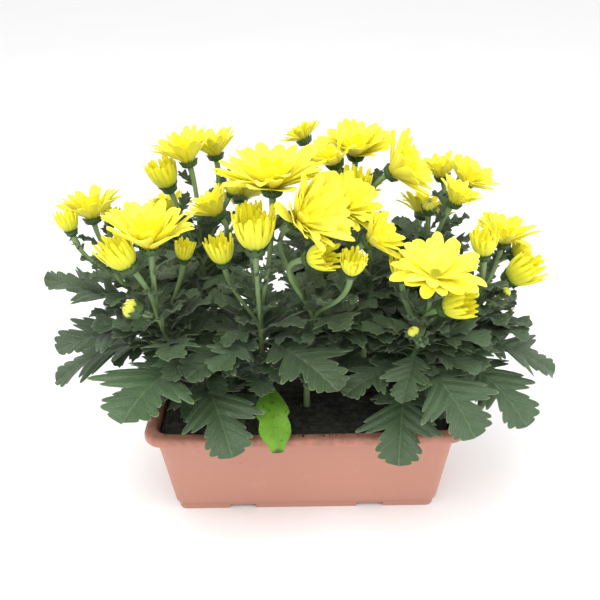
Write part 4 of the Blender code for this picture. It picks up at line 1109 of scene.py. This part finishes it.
made_leaves = {}
for shoot in SHOOTS:
    draw = random.Random(shoot + "_blades")
    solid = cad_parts[shoot].data
    corners = KDTree(len(solid.vertices))
    for corner in solid.vertices:
        corners.insert(corner.co, corner.index)
    corners.balance()
    wishes = []
    for owner, height, tip, bend, breadth in PLACED_LEAVES:
        if owner == shoot:
            attach = point_at_height(stem_path(shoot), height * MM)
            wishes.append(((attach, Vector(tip) * MM, bend, breadth), tip == YELLOWING_TIP))
    wishes += [(wish, False) for wish in spiral_leaves(shoot)]
    made_leaves[shoot] = []
    for wish, yellowing in wishes:
        leaf = as_built(wish, corners)
        if leaf is None:
            continue
        made_leaves[shoot].append((leaf, yellowing))
    skin = Skin("leaves_" + shoot[-2:])
    for leaf, yellowing in made_leaves[shoot]:
        if yellowing:
            continue
        low_bright = np.interp(float(leaf.attach[2]), TINT_HEIGHTS, TINT_ADDED)
        add_blade(skin, leaf, draw, min(max(MIDDLE_TINT + low_bright + draw.uniform(*TINT_DRAW), 0.0), 1.0))
    skin.piece(leaf_green.material, shoot)

# Yellowing leaf
# One old leaf that hangs over the front of the lip has turned yellow-green between its veins, with
# dark rusty spots and a dark tip.

# It is hardly cut at all: one long oval with a notched end, in the form of LEAF_LOBES
OLD_LEAF_LOBES = [(0.186, 0.880, 0.250, 0.42, 2, 0.026, 0.110), (0.880, 1.000, 0.110, 0.10, 2, 0.110, 0.004)]
# Dark and light of the upper side, veins, under side and margin, and then the spots and the tip
OLD_LEAF_TONES = ((0.050, 0.190, 0.008), (0.175, 0.390, 0.014), (0.230, 0.430, 0.040),
                  (0.150, 0.270, 0.040), (0.060, 0.090, 0.020))
SPOT_TONE = (0.045, 0.060, 0.012)
TIP_TONE = (0.020, 0.022, 0.010)
OLD_LEAF_TINT = 0.60

old_leaf = leaf_finish("yellowing_leaf", *OLD_LEAF_TONES, 0.48)
spots = old_leaf.step(old_leaf.grain(170.0, 4.0, rough=0.7), 0.57, 0.64)
_, _, old_along = old_leaf.read("leaf")
dark_tip = old_leaf.step(old_along, 0.93, 0.99)
old_green = old_leaf.shader.inputs["Base Color"].links[0].from_socket
old_green = old_leaf.blend(old_leaf.math("MULTIPLY", spots, 0.65), old_green, SPOT_TONE)
old_leaf.coloured(old_leaf.blend(old_leaf.math("MULTIPLY", dark_tip, 0.85), old_green, TIP_TONE))
old_skin = Skin("yellowing_leaf")
for leaves in made_leaves.values():
    for leaf, yellowing in leaves:
        if yellowing:
            add_blade(old_skin, leaf, random.Random("yellowing"), OLD_LEAF_TINT, lobes=OLD_LEAF_LOBES)
if old_skin.count:
    old_skin.piece(old_leaf.material, "shoot_04")

# Open blooms
# Each bloom is a head of long oval petals in three or four layers round a low disc of tiny florets.
# The petals are soft and slightly cupped, with faint grooves along them, and grow from the green cup.

# Rows across a petal lie closer together towards its tip, so that the end comes out round
PETAL_ROWS = np.array([0.0, 0.10, 0.22, 0.36, 0.50, 0.62, 0.73, 0.82, 0.89, 0.945, 0.982, 1.0])
PETAL_COLUMNS = np.array([-1.0, -0.72, -0.40, 0.0, 0.40, 0.72, 1.0])
PETAL_THICKNESS = 0.00042
PETAL_WIDEST = 0.60
# Width of a petal's foot as a share of its widest, least width at its round end, and how blunt that is
PETAL_FOOT_WIDTH = 0.38
PETAL_END_WIDTH = 0.10
PETAL_END_ROUND = 2.5
# How much shorter a petal's edges are than its middle, and the small notch at its end
PETAL_EDGE_SHORTER = 0.012
PETAL_NOTCH = 0.010
PETAL_NOTCH_WIDTH = 0.25
# Two faint grooves along a petal: depth, how far off the middle they run and how wide they are
GROOVE_DEPTH = 0.00022
GROOVE_PLACE = 0.40
GROOVE_WIDTH = 0.14
PETAL_ROOT_REACH = 0.0050
STEEPEST_RISE = 50
SEAT_GAP = 0.0003
# A bloom wider than this (mm) has so many petals in its layers, from the outside in
PETAL_COUNTS = [(62, (14, 12, 8, 5)), (50, (12, 11, 7, 5)), (0, (11, 9, 6, 4))]
# The one bloom that has opened so far that its disc shows
OPENED_FLAT = {"bloom_18": (15, 11, 3)}
# Root height and reach (mm), length as a share of the outer petals', breadth as a share of the bloom's
# radius, share of the way from the outer petals' rise to upright, and curl (degrees), of each layer
PETAL_LAYERS = [(0.9, 5.0, 1.00, 0.285, 0.00, 3), (1.9, 4.5, 0.95, 0.275, 0.16, 5),
                (3.1, 3.8, 0.80, 0.250, 0.38, 9), (4.2, 3.0, 0.58, 0.210, 0.58, 14)]
# This share of the petals in the two outer layers hangs at the end, and the rest droop less (degrees)
HANGING_SHARE = 0.18
HANGING_DEGREES = (24, 48)
DROOPING_DEGREES = (2, 15)
# How much the petals of a layer differ: place round the head (share of a step), length, rise (degrees),
# how cupped they are and how twisted
PETAL_PLACE_DRAW = (-0.22, 0.22)
PETAL_LENGTH_DRAW = (0.84, 1.05)
PETAL_RISE_DRAW = (-9, 9)
PETAL_CUP_DRAW = (0.10, 0.34)
PETAL_TWIST_DRAW = (-0.28, 0.28)
# Lifts (degrees) and sizes that a petal tries until it touches nothing
PETAL_LIFTS = [0, 8, -7, 16, 26, 38]
PETAL_SIZES = [1.0, 0.86, 0.72]
DISC_FLORETS = 72
DISC_RADIUS_MM = 6.4
DISC_DOME_MM = 2.2
DISC_FOOT_MM = 3.6
FLORET_RADIUS = 0.00058
FLORET_SIDES = 5
FLORET_HEIGHT_DRAW = (0, 0.0005)
# Share of a floret's height where it is widest, and its width at its foot, there and at its top
FLORET_NECK = 0.75
FLORET_WIDTHS = (0.8, 1.0, 0.75)
# Two yellows of the upper side, its streaks, and painted shade at its foot in the bloom's centre, then the
# under side with painted shade, at the foot and beyond it
LEMON_TONES = (1.0, 0.93, 0.042), (1.0, 0.98, 0.100)
STREAK_TONE = (0.98, 0.82, 0.016)
FOOT_SHADE_TONE = (0.96, 0.76, 0.010)
UNDER_SIDE_SHADE_TONES = (0.74, 0.68, 0.026), (0.95, 0.84, 0.026)
DISC_TONES = (0.42, 0.50, 0.035), (0.80, 0.66, 0.020)
DISC_GRAIN_TONE = (0.60, 0.58, 0.05)


class Clear:
    """Shapes already in place, by owner, for testing whether the next petal or leaf touches them."""

    def __init__(self):
        self.owners = []
        self.trees = []
        self.boxes = np.zeros((0, 6))

    def add(self, owner, points, faces):
        points = np.asarray(points, float).reshape(-1, 3)
        self.owners.append(owner)
        self.trees.append(BVHTree.FromPolygons([tuple(p) for p in points], faces))
        self.boxes = np.vstack([self.boxes, np.concatenate([points.min(0), points.max(0)])])

    def free(self, owner, points, faces):
        points = np.asarray(points, float).reshape(-1, 3)
        low, high = points.min(0), points.max(0)
        near = np.all(self.boxes[:, :3] <= high, axis=1) & np.all(self.boxes[:, 3:] >= low, axis=1)
        tree = None
        for i in np.flatnonzero(near):
            if self.owners[i] == owner:
                continue
            if tree is None:
                tree = BVHTree.FromPolygons([tuple(p) for p in points], faces)
            if tree.overlap(self.trees[i]):
                return False
        return True


def petal_length(width, rise):
    """Length of the outer petals, which reach the bloom's full width although they rise."""
    level = math.cos(math.radians(min(rise, STEEPEST_RISE)))
    return (width * MM / 2 - PETAL_ROOT_REACH) / level


def petal_grid(centre, axis, angle, root, reach, length, width, lift, curl, cup, droop, twist):
    """Upper surface of a petal as a grid of points, with the normal at each."""
    side, other = across(axis)
    axis = np.array(axis)
    outward = math.cos(angle) * np.array(side) + math.sin(angle) * np.array(other)
    tangent = np.cross(axis, outward)
    s = PETAL_ROWS[:, None]
    q = PETAL_COLUMNS[None, :]
    beyond = np.clip(s - PETAL_WIDEST, 0, 1) / (1 - PETAL_WIDEST)
    rounded = np.maximum(np.sqrt(1 - beyond ** PETAL_END_ROUND), PETAL_END_WIDTH)
    opening = np.sin(0.5 * math.pi * s / PETAL_WIDEST)
    grow = np.where(s < PETAL_WIDEST, PETAL_FOOT_WIDTH + (1 - PETAL_FOOT_WIDTH) * opening, rounded)
    half = 0.5 * width * grow * np.ones_like(q)
    notch = PETAL_NOTCH * np.exp(-(q / PETAL_NOTCH_WIDTH) ** 2)
    along = s * (1 - PETAL_EDGE_SHORTER * q ** 2 * s ** 6) - notch * s ** 24
    bend = math.radians(lift) + math.radians(curl) * s - droop * s ** 3
    mean = math.radians(lift) + math.radians(curl) * s / 2 - droop * s ** 3 / 4
    run = (length * along)[..., None]
    spot = np.array(centre) + root * axis + reach * outward
    spot = spot + run * (np.cos(mean)[..., None] * outward + np.sin(mean)[..., None] * axis)
    normal = np.cos(bend)[..., None] * axis - np.sin(bend)[..., None] * outward
    normal = normal * np.ones(along.shape)[..., None]
    groove = GROOVE_DEPTH * np.exp(-((np.abs(q) - GROOVE_PLACE) / GROOVE_WIDTH) ** 2)
    groove = groove * np.sin(math.pi * np.clip(s, 0, 1)) ** 0.5
    height = cup * half * q ** 2 - groove + twist * half * q * s
    spot = spot + (q * half)[..., None] * tangent + height[..., None] * normal
    return spot, normal


# The rows and columns of a petal that are enough to test whether it touches anything, and the faces
# of such a grid of five rows of three points
COARSE_ROWS = [0, 3, 6, 9, 11]
COARSE_COLUMNS = [0, 3, 6]
COARSE_FACES = [(i * 3 + j, i * 3 + j + 3, i * 3 + j + 4, i * 3 + j + 1) for i in range(4) for j in range(2)]


def add_petal(skin, spot, normal, layer, tint):
    rows, columns = spot.shape[:2]
    under = spot - PETAL_THICKNESS * normal
    s = np.repeat(PETAL_ROWS, columns)
    q = np.tile(np.abs(PETAL_COLUMNS), rows)
    shape = np.stack([s, q, np.full(s.size, layer)], -1)
    upper = np.stack([np.full(s.size, tint), np.zeros(s.size), s], -1)
    skin.add(np.concatenate([spot.reshape(-1, 3), under.reshape(-1, 3)]), sheet_faces(rows, columns),
             petal=np.concatenate([shape, shape]), tone=np.concatenate([upper, upper + (0.0, 1.0, 0.0)]))


def add_disc(skin, centre, axis, scale, draw):
    """Low dome of tiny tube-shaped florets, set in the spiral of a daisy's disc."""
    side, other = across(axis)
    foot = DISC_FOOT_MM * MM * scale
    for i in range(DISC_FLORETS):
        share = math.sqrt((i + 0.5) / DISC_FLORETS)
        angle = i * math.radians(SPIRAL_TURN)
        reach = DISC_RADIUS_MM * MM * scale * share
        top = foot + DISC_DOME_MM * MM * scale * (1 - share ** 2) + draw.uniform(*FLORET_HEIGHT_DRAW)
        spot = centre + reach * (math.cos(angle) * side + math.sin(angle) * other)
        radius = FLORET_RADIUS * scale
        rings = []
        for height, width in zip((0.0, FLORET_NECK * top, top), FLORET_WIDTHS):
            for k in range(FLORET_SIDES):
                turn = 2 * math.pi * k / FLORET_SIDES
                outward = math.cos(turn) * side + math.sin(turn) * other
                rings.append(spot + height * axis + radius * width * outward)
        skin.add(rings, ring_faces(len(FLORET_WIDTHS), FLORET_SIDES), tone=(share, 0.0, 0.0))


petal_yellow = Finish("petal_yellow", 0.58)
reach, off_middle, layer = petal_yellow.read("petal")
petal_tint, under, _ = petal_yellow.read("tone")
lemon = petal_yellow.blend(petal_tint, *LEMON_TONES)
streaks = petal_yellow.grain(1.0, 2.0, petal_yellow.vector(petal_yellow.math("MULTIPLY", reach, 2.0),
                                                           petal_yellow.math("MULTIPLY", off_middle, 9.0),
                                                           petal_yellow.math("MULTIPLY", petal_tint, 30.0)))
lemon = petal_yellow.blend(petal_yellow.math("MULTIPLY", petal_yellow.step(streaks, 0.45, 0.70), 0.26),
                           lemon, STREAK_TONE)
# Painted shade: the petals' feet, deep in the bloom's centre, turn golden
painted_foot_shade = petal_yellow.math("MULTIPLY", petal_yellow.step(reach, 0.50, 0.05), 0.45)
lemon = petal_yellow.blend(painted_foot_shade, lemon, FOOT_SHADE_TONE)
# The under side is painted darker as shade, most at its foot
shaded_under_side = petal_yellow.blend(petal_yellow.step(reach, 0.0, 0.6), *UNDER_SIDE_SHADE_TONES)
petal_yellow.coloured(petal_yellow.blend(petal_yellow.math("MULTIPLY", under, 0.80), lemon, shaded_under_side))
petal_yellow.bumped(petal_yellow.math("ADD", streaks, petal_yellow.grain(1500.0, 1.0)), 0.00018, 0.5)
petal_yellow.shader.inputs["Sheen Weight"].default_value = 0.15
petal_yellow.shader.inputs["Subsurface Weight"].default_value = 0.35
petal_yellow.shader.inputs["Subsurface Radius"].default_value = (1.0, 0.9, 0.15)
petal_yellow.shader.inputs["Subsurface Scale"].default_value = 0.0015
petal_yellow.shader.inputs["Specular IOR Level"].default_value = 0.28

disc_yellow = Finish("disc_florets", 0.60)
ring_share, _, _ = disc_yellow.read("tone")
disc_tone = disc_yellow.blend(disc_yellow.step(ring_share, 0.25, 0.95), *DISC_TONES)
disc_yellow.coloured(disc_yellow.blend(disc_yellow.grain(700.0, 2.0), disc_tone, DISC_GRAIN_TONE))
disc_yellow.bumped(disc_yellow.grain(1200.0, 2.0), 0.0002, 0.4)

taken = Clear()
for node_name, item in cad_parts.items():
    if node_name.startswith(("shoot", "half_open", "bud")):
        shape = item.data
        taken.add(node_name, [corner.co for corner in shape.vertices],
                  [tuple(face.vertices) for face in shape.polygons])

for name, (form, _, seat, width, heading, lean, rise) in FLOWERS.items():
    if form != "open":
        continue
    draw = random.Random(name + "_petals")
    axis = lean_axis(heading, lean)
    centre = Vector(seat) * MM + SEAT_GAP * axis
    radius = width * MM / 2
    counts = OPENED_FLAT.get(name) or next(numbers for least, numbers in PETAL_COUNTS if width > least)
    skin = Skin("petals_" + name[-2:])
    for index, (count, layer_sizes) in enumerate(zip(counts, PETAL_LAYERS)):
        root, reach, share, breadth, upright, curl = layer_sizes
        for i in range(count):
            angle = 2 * math.pi * (i + 0.5 * (index % 2) + draw.uniform(*PETAL_PLACE_DRAW)) / count
            length = petal_length(width, rise) * share * draw.uniform(*PETAL_LENGTH_DRAW)
            lift = rise + upright * (90 - rise) + draw.uniform(*PETAL_RISE_DRAW)
            hangs = index < 2 and draw.random() < HANGING_SHARE
            droop = math.radians(draw.uniform(*(HANGING_DEGREES if hangs else DROOPING_DEGREES)))
            form_draws = (draw.uniform(*PETAL_CUP_DRAW), droop, draw.uniform(*PETAL_TWIST_DRAW))
            tint = draw.random()
            for size, extra in [(a, b) for a in PETAL_SIZES for b in PETAL_LIFTS]:
                spot, normal = petal_grid(centre, axis, angle, root * MM, reach * MM, length * size,
                                          radius * breadth, lift + extra, curl, *form_draws)
                coarse = spot[np.ix_(COARSE_ROWS, COARSE_COLUMNS)].reshape(-1, 3)
                if taken.free(name, coarse, COARSE_FACES):
                    add_petal(skin, spot, normal, index, tint)
                    taken.add(name, coarse, COARSE_FACES)
                    break
    skin.piece(petal_yellow.material, name)
    disc = Skin("disc_" + name[-2:])
    add_disc(disc, centre, axis, flower_scale(form, width), draw)
    disc.piece(disc_yellow.material, name)

# Half-open flowers and buds
# The young petals still stand close together as narrow straps, with their edges rolled in.
# In a bud they close into a ball, and it is greener than a half-open flower.

STRAP_ROWS = np.array([0.0, 0.13, 0.27, 0.42, 0.50, 0.58, 0.72, 0.83, 0.92, 0.98, 1.0])
STRAP_COLUMNS = np.array([-1.0, -0.38, 0.38, 1.0])
STRAP_THICKNESS = 0.0004
# Height and radius of the outer straps, in mm at the form's own size
STRAP_PROFILES_MM = {
    "cup": [(0.0, 5.4), (3.0, 7.7), (7.0, 9.9), (13.0, 11.5), (18.0, 12.1), (22.0, 12.3)],
    "bud": [(0.0, 4.5), (1.6, 5.6), (3.4, 6.3), (5.4, 5.9), (7.2, 4.4), (8.5, 1.5)],
}
# Count, radius and height as shares of the outer straps', of each ring of straps
STRAP_RINGS = {
    "cup": [(16, 1.00, 1.00), (14, 0.86, 0.97), (10, 0.64, 0.84), (7, 0.40, 0.68)],
    "bud": [(10, 1.00, 1.00), (8, 0.86, 1.04)],
}
# Shares of a strap's height, and its width there: it parts from its neighbours and ends in a blunt finger
STRAP_TAPERS = {
    "cup": ([0.0, 0.42, 0.58, 0.72, 0.92, 0.98, 1.0], [0.95, 1.0, 0.78, 0.56, 0.46, 0.32, 0.08]),
    "bud": ([0.0, 0.62, 0.80, 0.94, 1.0], [0.90, 1.0, 0.70, 0.34, 0.06]),
}
# Heights and radii of the heart that closes the flower inside, in mm at the form's own size
HEARTS_MM = {
    "cup": [(0.0, 5.0), (3.0, 6.6), (6.0, 6.2), (9.0, 4.4), (11.0, 1.2)],
    "bud": [(0.0, 4.0), (2.0, 5.2), (4.2, 5.2), (6.2, 3.6), (7.8, 0.8)],
}


# How much the straps of a form differ in height and in how their ends flare (mm), and how they lean
STRAP_HEIGHT_DRAWS = {"cup": (0.80, 1.08), "bud": (0.96, 1.04)}
STRAP_FLARE = (-0.6, 0.7)
STRAP_LEAN = (-0.10, 0.10)
STRAP_PLACE_DRAW = (-0.10, 0.10)
# How much wider a strap is than its share of the ring, and how far its edges roll in
STRAP_OVERLAPS = {"cup": 1.22, "bud": 1.30}
STRAP_ROLL = 0.34
# What the heart keeps for its finish: how far up it counts as, and its tint
HEART_UP = 0.2
HEART_TINT = 0.5
# Foot, low and high colours, then the colour of the streaks and of the painted shade in the grooves between
# straps
HALF_OPEN_TONES = ((0.30, 0.42, 0.028), (0.74, 0.74, 0.030), (0.95, 0.88, 0.032), (0.74, 0.66, 0.022))
BUD_TONES = ((0.20, 0.32, 0.035), (0.56, 0.60, 0.050), (0.80, 0.76, 0.100), (0.40, 0.42, 0.030))


def add_strap(skin, centre, axis, angle, scale, form, ring, count, draw, layer):
    """One rolled strap that follows the flower's side up from the green cup."""
    side, other = across(axis)
    axis = np.array(axis)
    outward = math.cos(angle) * np.array(side) + math.sin(angle) * np.array(other)
    tangent = np.cross(axis, outward)
    profile = STRAP_PROFILES_MM[form]
    tall = profile[-1][0] * ring[1] * draw.uniform(*STRAP_HEIGHT_DRAWS[form])
    s = STRAP_ROWS[:, None]
    q = STRAP_COLUMNS[None, :]
    height = tall * s
    radius = np.interp(height / ring[1], [h for h, _ in profile], [r for _, r in profile]) * ring[0]
    flare = draw.uniform(*STRAP_FLARE) * s ** 3 if form == "cup" else 0.0
    full = STRAP_OVERLAPS[form] * math.pi * radius / count
    taper = np.interp(s, *STRAP_TAPERS[form])
    half = full * taper * np.ones_like(q)
    roll = STRAP_ROLL * half * q ** 2
    lean = draw.uniform(*STRAP_LEAN) * height
    reach = radius + flare - roll
    outer = (np.array(centre) + MM * scale * (height[..., None] * axis + reach[..., None] * outward
                                             + (q * half + lean)[..., None] * tangent))
    inner = outer - STRAP_THICKNESS * outward
    rows, columns = outer.shape[:2]
    shape = np.stack([np.repeat(STRAP_ROWS, columns), np.tile(np.abs(STRAP_COLUMNS), rows),
                      np.full(rows * columns, layer)], -1)
    tone = np.broadcast_to([draw.random(), 0.0, 0.0], shape.shape)
    skin.add(np.concatenate([inner.reshape(-1, 3), outer.reshape(-1, 3)]), sheet_faces(rows, columns),
             petal=np.concatenate([shape, shape]), tone=np.concatenate([tone + (0.0, 1.0, 0.0), tone]))


def young_petal(name, foot_colour, low_colour, high_colour, streak_and_groove_shade_colour):
    made = Finish(name, 0.50)
    reach, off_middle, _ = made.read("petal")
    tint, _, _ = made.read("tone")
    tone = made.blend(made.step(reach, 0.0, 0.32), foot_colour, low_colour)
    tone = made.blend(made.step(reach, 0.25, 0.95), tone, high_colour)
    # The rolled-in edges of each strap are painted darker: painted shade in the grooves between straps
    tone = made.blend(made.math("MULTIPLY", made.step(off_middle, 0.55, 1.0), 0.55), tone, streak_and_groove_shade_colour)
    streak = made.grain(1.0, 2.0, made.vector(made.math("MULTIPLY", reach, 3.0),
                                              made.math("MULTIPLY", off_middle, 8.0),
                                              made.math("MULTIPLY", tint, 40.0)))
    tone = made.blend(made.math("MULTIPLY", made.step(streak, 0.45, 0.75), 0.30), tone, streak_and_groove_shade_colour)
    made.coloured(tone)
    made.bumped(made.math("ADD", streak, made.grain(1300.0, 1.0)), 0.0002, 0.5)
    made.shader.inputs["Sheen Weight"].default_value = 0.12
    made.shader.inputs["Subsurface Weight"].default_value = 0.30
    made.shader.inputs["Subsurface Radius"].default_value = (1.0, 0.9, 0.15)
    made.shader.inputs["Subsurface Scale"].default_value = 0.0015
    made.shader.inputs["Specular IOR Level"].default_value = 0.30
    return made


half_open_yellow = young_petal("half_open_yellow", *HALF_OPEN_TONES)
bud_yellow = young_petal("bud_yellow", *BUD_TONES)
for name, (form, _, seat, width, heading, lean, _) in FLOWERS.items():
    if form == "open":
        continue
    draw = random.Random(name + "_straps")
    axis = lean_axis(heading, lean)
    centre = Vector(seat) * MM + SEAT_GAP * axis
    scale = flower_scale(form, width)
    skin = Skin(("young_petals_" if form == "cup" else "bud_petals_") + name[-2:])
    for layer, ring in enumerate(STRAP_RINGS[form]):
        count, *shares = ring
        for i in range(count):
            angle = 2 * math.pi * (i + 0.5 * (layer % 2) + draw.uniform(*STRAP_PLACE_DRAW)) / count
            add_strap(skin, centre, axis, angle, scale, form, shares, count, draw, layer)
    heart = [centre + MM * scale * height * axis for height, _ in HEARTS_MM[form]]
    ribbed_tube(skin, heart, [MM * scale * radius for _, radius in HEARTS_MM[form]], rib=0.0,
                keep={"petal": (HEART_UP, 0.0, 0.0), "tone": (HEART_TINT, 0.0, 0.0)})
    finish = half_open_yellow if form == "cup" else bud_yellow
    skin.piece(finish.material, name)

# Young leaves
# Smaller and younger leaves of the same cut shape sit between the large ones, thickly up each stem and
# sparsely on the flower stalks, each turned clear of what grows beside it.

YOUNG_ON_STEM = 30
YOUNG_ON_STALK = 4
STEM_LEAF_MM = (36, 66)
STALK_LEAF_MM = (16, 42)
YOUNG_STALK_THICKNESS = 0.0011
YOUNG_COLUMNS = np.array([-1.0, -0.55, 0.0, 0.55, 1.0])
YOUNG_ROWS_PER_TOOTH = 2
# Turns and tilts (degrees) and sizes that a young leaf tries until it touches nothing
YOUNG_TURNS = [0, 25, -25, 50, -50, 80, -80, 120, -120, 160]
YOUNG_TILTS = [0, 18, -16, 34]
YOUNG_SIZES = [1.0, 0.8]
# On a stem: how the leaves crowd upward, and their slope with its gain up the stem (degrees)
STEM_LEAF_CROWDING = 0.8
STEM_LEAF_SLOPE = -24
STEM_LEAF_SLOPE_GAIN = 48
STEM_LEAF_SLOPE_DRAW = (-22, 22)
# On a stalk: place in its own stretch, room left at the flower's end (in leaves), length and slope
STALK_LEAF_PLACE = (0.3, 0.9)
STALK_LEAF_ROOM = 0.8
STALK_LEAF_LENGTH_DRAW = (0.8, 1.15)
STALK_LEAF_SLOPE = (20, 52)
YOUNG_BEND = (22, 72)
YOUNG_BREADTH = (0.8, 1.1)
YOUNG_TINT = (0.15, 0.85)
STEM_TEST_STEPS = 10
STALK_TEST_STEPS = 8
# Lowest leaf's height and how low any tip may hang (m)
LOWEST_YOUNG = 0.122
LOWEST_YOUNG_TIP = 0.108
# At the front, within the first of these distances from the middle, no tip hangs lower than the second
OPEN_MIDDLE = (0.075, 0.158)
# Stations along a leaf's blade and its half-width there, for testing that it touches nothing. Their
# grid has the faces of a petal's coarse one.
TEST_STATIONS = np.array([0.15, 0.36, 0.56, 0.78, 1.00])
TEST_WIDTHS = np.array([0.03, 0.26, 0.34, 0.26, 0.03])


def test_grid(leaf):
    along = np.repeat(TEST_STATIONS[:, None], 3, axis=1)
    out = TEST_WIDTHS[:, None] * np.array([-1.0, 0.0, 1.0]) * leaf.breadth * leaf.arc
    return leaf.points(along, out, np.zeros_like(out)).reshape(-1, 3)


def test_tube(path, radius):
    """Square tube round a stem's path."""
    rings = []
    for i, centre in enumerate(path):
        side, other = across(path[min(i + 1, len(path) - 1)] - path[max(i - 1, 0)])
        rings += [centre + radius * (a * side + b * other) for a, b in ((1, 0), (0, 1), (-1, 0), (0, -1))]
    return rings, [tuple(face) for face in ring_faces(len(path), 4, caps=False)[0]]


def young_leaf(shoot, carrier, attach, heading, slope, length, bend, breadth):
    """The first size, tilt and turn at which a young leaf touches nothing, or None."""
    for size in YOUNG_SIZES:
        for tilt in YOUNG_TILTS:
            for turn in YOUNG_TURNS:
                level = math.radians(heading + turn)
                rise = math.radians(slope + tilt)
                reach = Vector((math.cos(level) * math.cos(rise), math.sin(level) * math.cos(rise),
                                math.sin(rise)))
                tip = attach + length * size * reach
                if abs(tip.x) > REACH_LIMIT_X or abs(tip.y) > REACH_LIMIT_Y or tip.z < LOWEST_YOUNG_TIP:
                    continue
                if abs(tip.x) < OPEN_MIDDLE[0] and tip.y < 0 and tip.z < OPEN_MIDDLE[1]:
                    continue
                leaf = Leaf(attach, tip, bend, breadth, YOUNG_STALK_THICKNESS)
                grid = test_grid(leaf)
                if taken.free(shoot, grid, COARSE_FACES) and growing.free(carrier, grid, COARSE_FACES):
                    growing.add(carrier + "_leaf", grid, COARSE_FACES)
                    return leaf
    return None


for node_name in ("planter_trough", "potting_soil"):
    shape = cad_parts[node_name].data
    taken.add(node_name, [corner.co for corner in shape.vertices],
              [tuple(face.vertices) for face in shape.polygons])
growing = Clear()
carriers = {}
for shoot in SHOOTS:
    carriers[shoot] = [(shoot + "_stem", stem_path(shoot, STEM_TEST_STEPS))]
    growing.add(shoot + "_stem", *test_tube(carriers[shoot][0][1], STEM_RADIUS_LOW))
    for leaf, _ in made_leaves[shoot]:
        growing.add("large_leaf", test_grid(leaf), COARSE_FACES)
for name, (_, shoot, *_) in FLOWERS.items():
    path = stalk_path(name, STALK_TEST_STEPS)[0]
    carriers[shoot].append((shoot + "_" + name, path))
    growing.add(shoot + "_" + name, *test_tube(path, STALK_RADIUS))

for shoot in SHOOTS:
    draw = random.Random(shoot + "_young")
    skin = Skin("young_leaves_" + shoot[-2:])
    for index, (carrier, path) in enumerate(carriers[shoot]):
        heading = draw.uniform(0, 360)
        for i in range(YOUNG_ON_STALK if index else YOUNG_ON_STEM):
            heading += SPIRAL_TURN
            if index:
                share = (i + draw.uniform(*STALK_LEAF_PLACE)) / (YOUNG_ON_STALK + STALK_LEAF_ROOM)
                spot = share * (len(path) - 1)
                attach = path[int(spot)].lerp(path[int(spot) + 1], spot - int(spot))
                length = np.interp(share, [0, 1], STALK_LEAF_MM[::-1])
                length = length * draw.uniform(*STALK_LEAF_LENGTH_DRAW) * MM
                slope = draw.uniform(*STALK_LEAF_SLOPE)
            else:
                share = ((i + draw.random()) / YOUNG_ON_STEM) ** STEM_LEAF_CROWDING
                attach = point_at_height(path, LOWEST_YOUNG + share * (path[-1].z - LOWEST_YOUNG))
                length = draw.uniform(*STEM_LEAF_MM) * MM
                slope = STEM_LEAF_SLOPE + STEM_LEAF_SLOPE_GAIN * share + draw.uniform(*STEM_LEAF_SLOPE_DRAW)
            leaf = young_leaf(shoot, carrier, attach, heading, slope, float(length),
                              draw.uniform(*YOUNG_BEND), draw.uniform(*YOUNG_BREADTH))
            if leaf is not None:
                add_blade(skin, leaf, draw, draw.uniform(*YOUNG_TINT), YOUNG_COLUMNS, YOUNG_ROWS_PER_TOOTH)
    skin.piece(leaf_green.material, shoot)
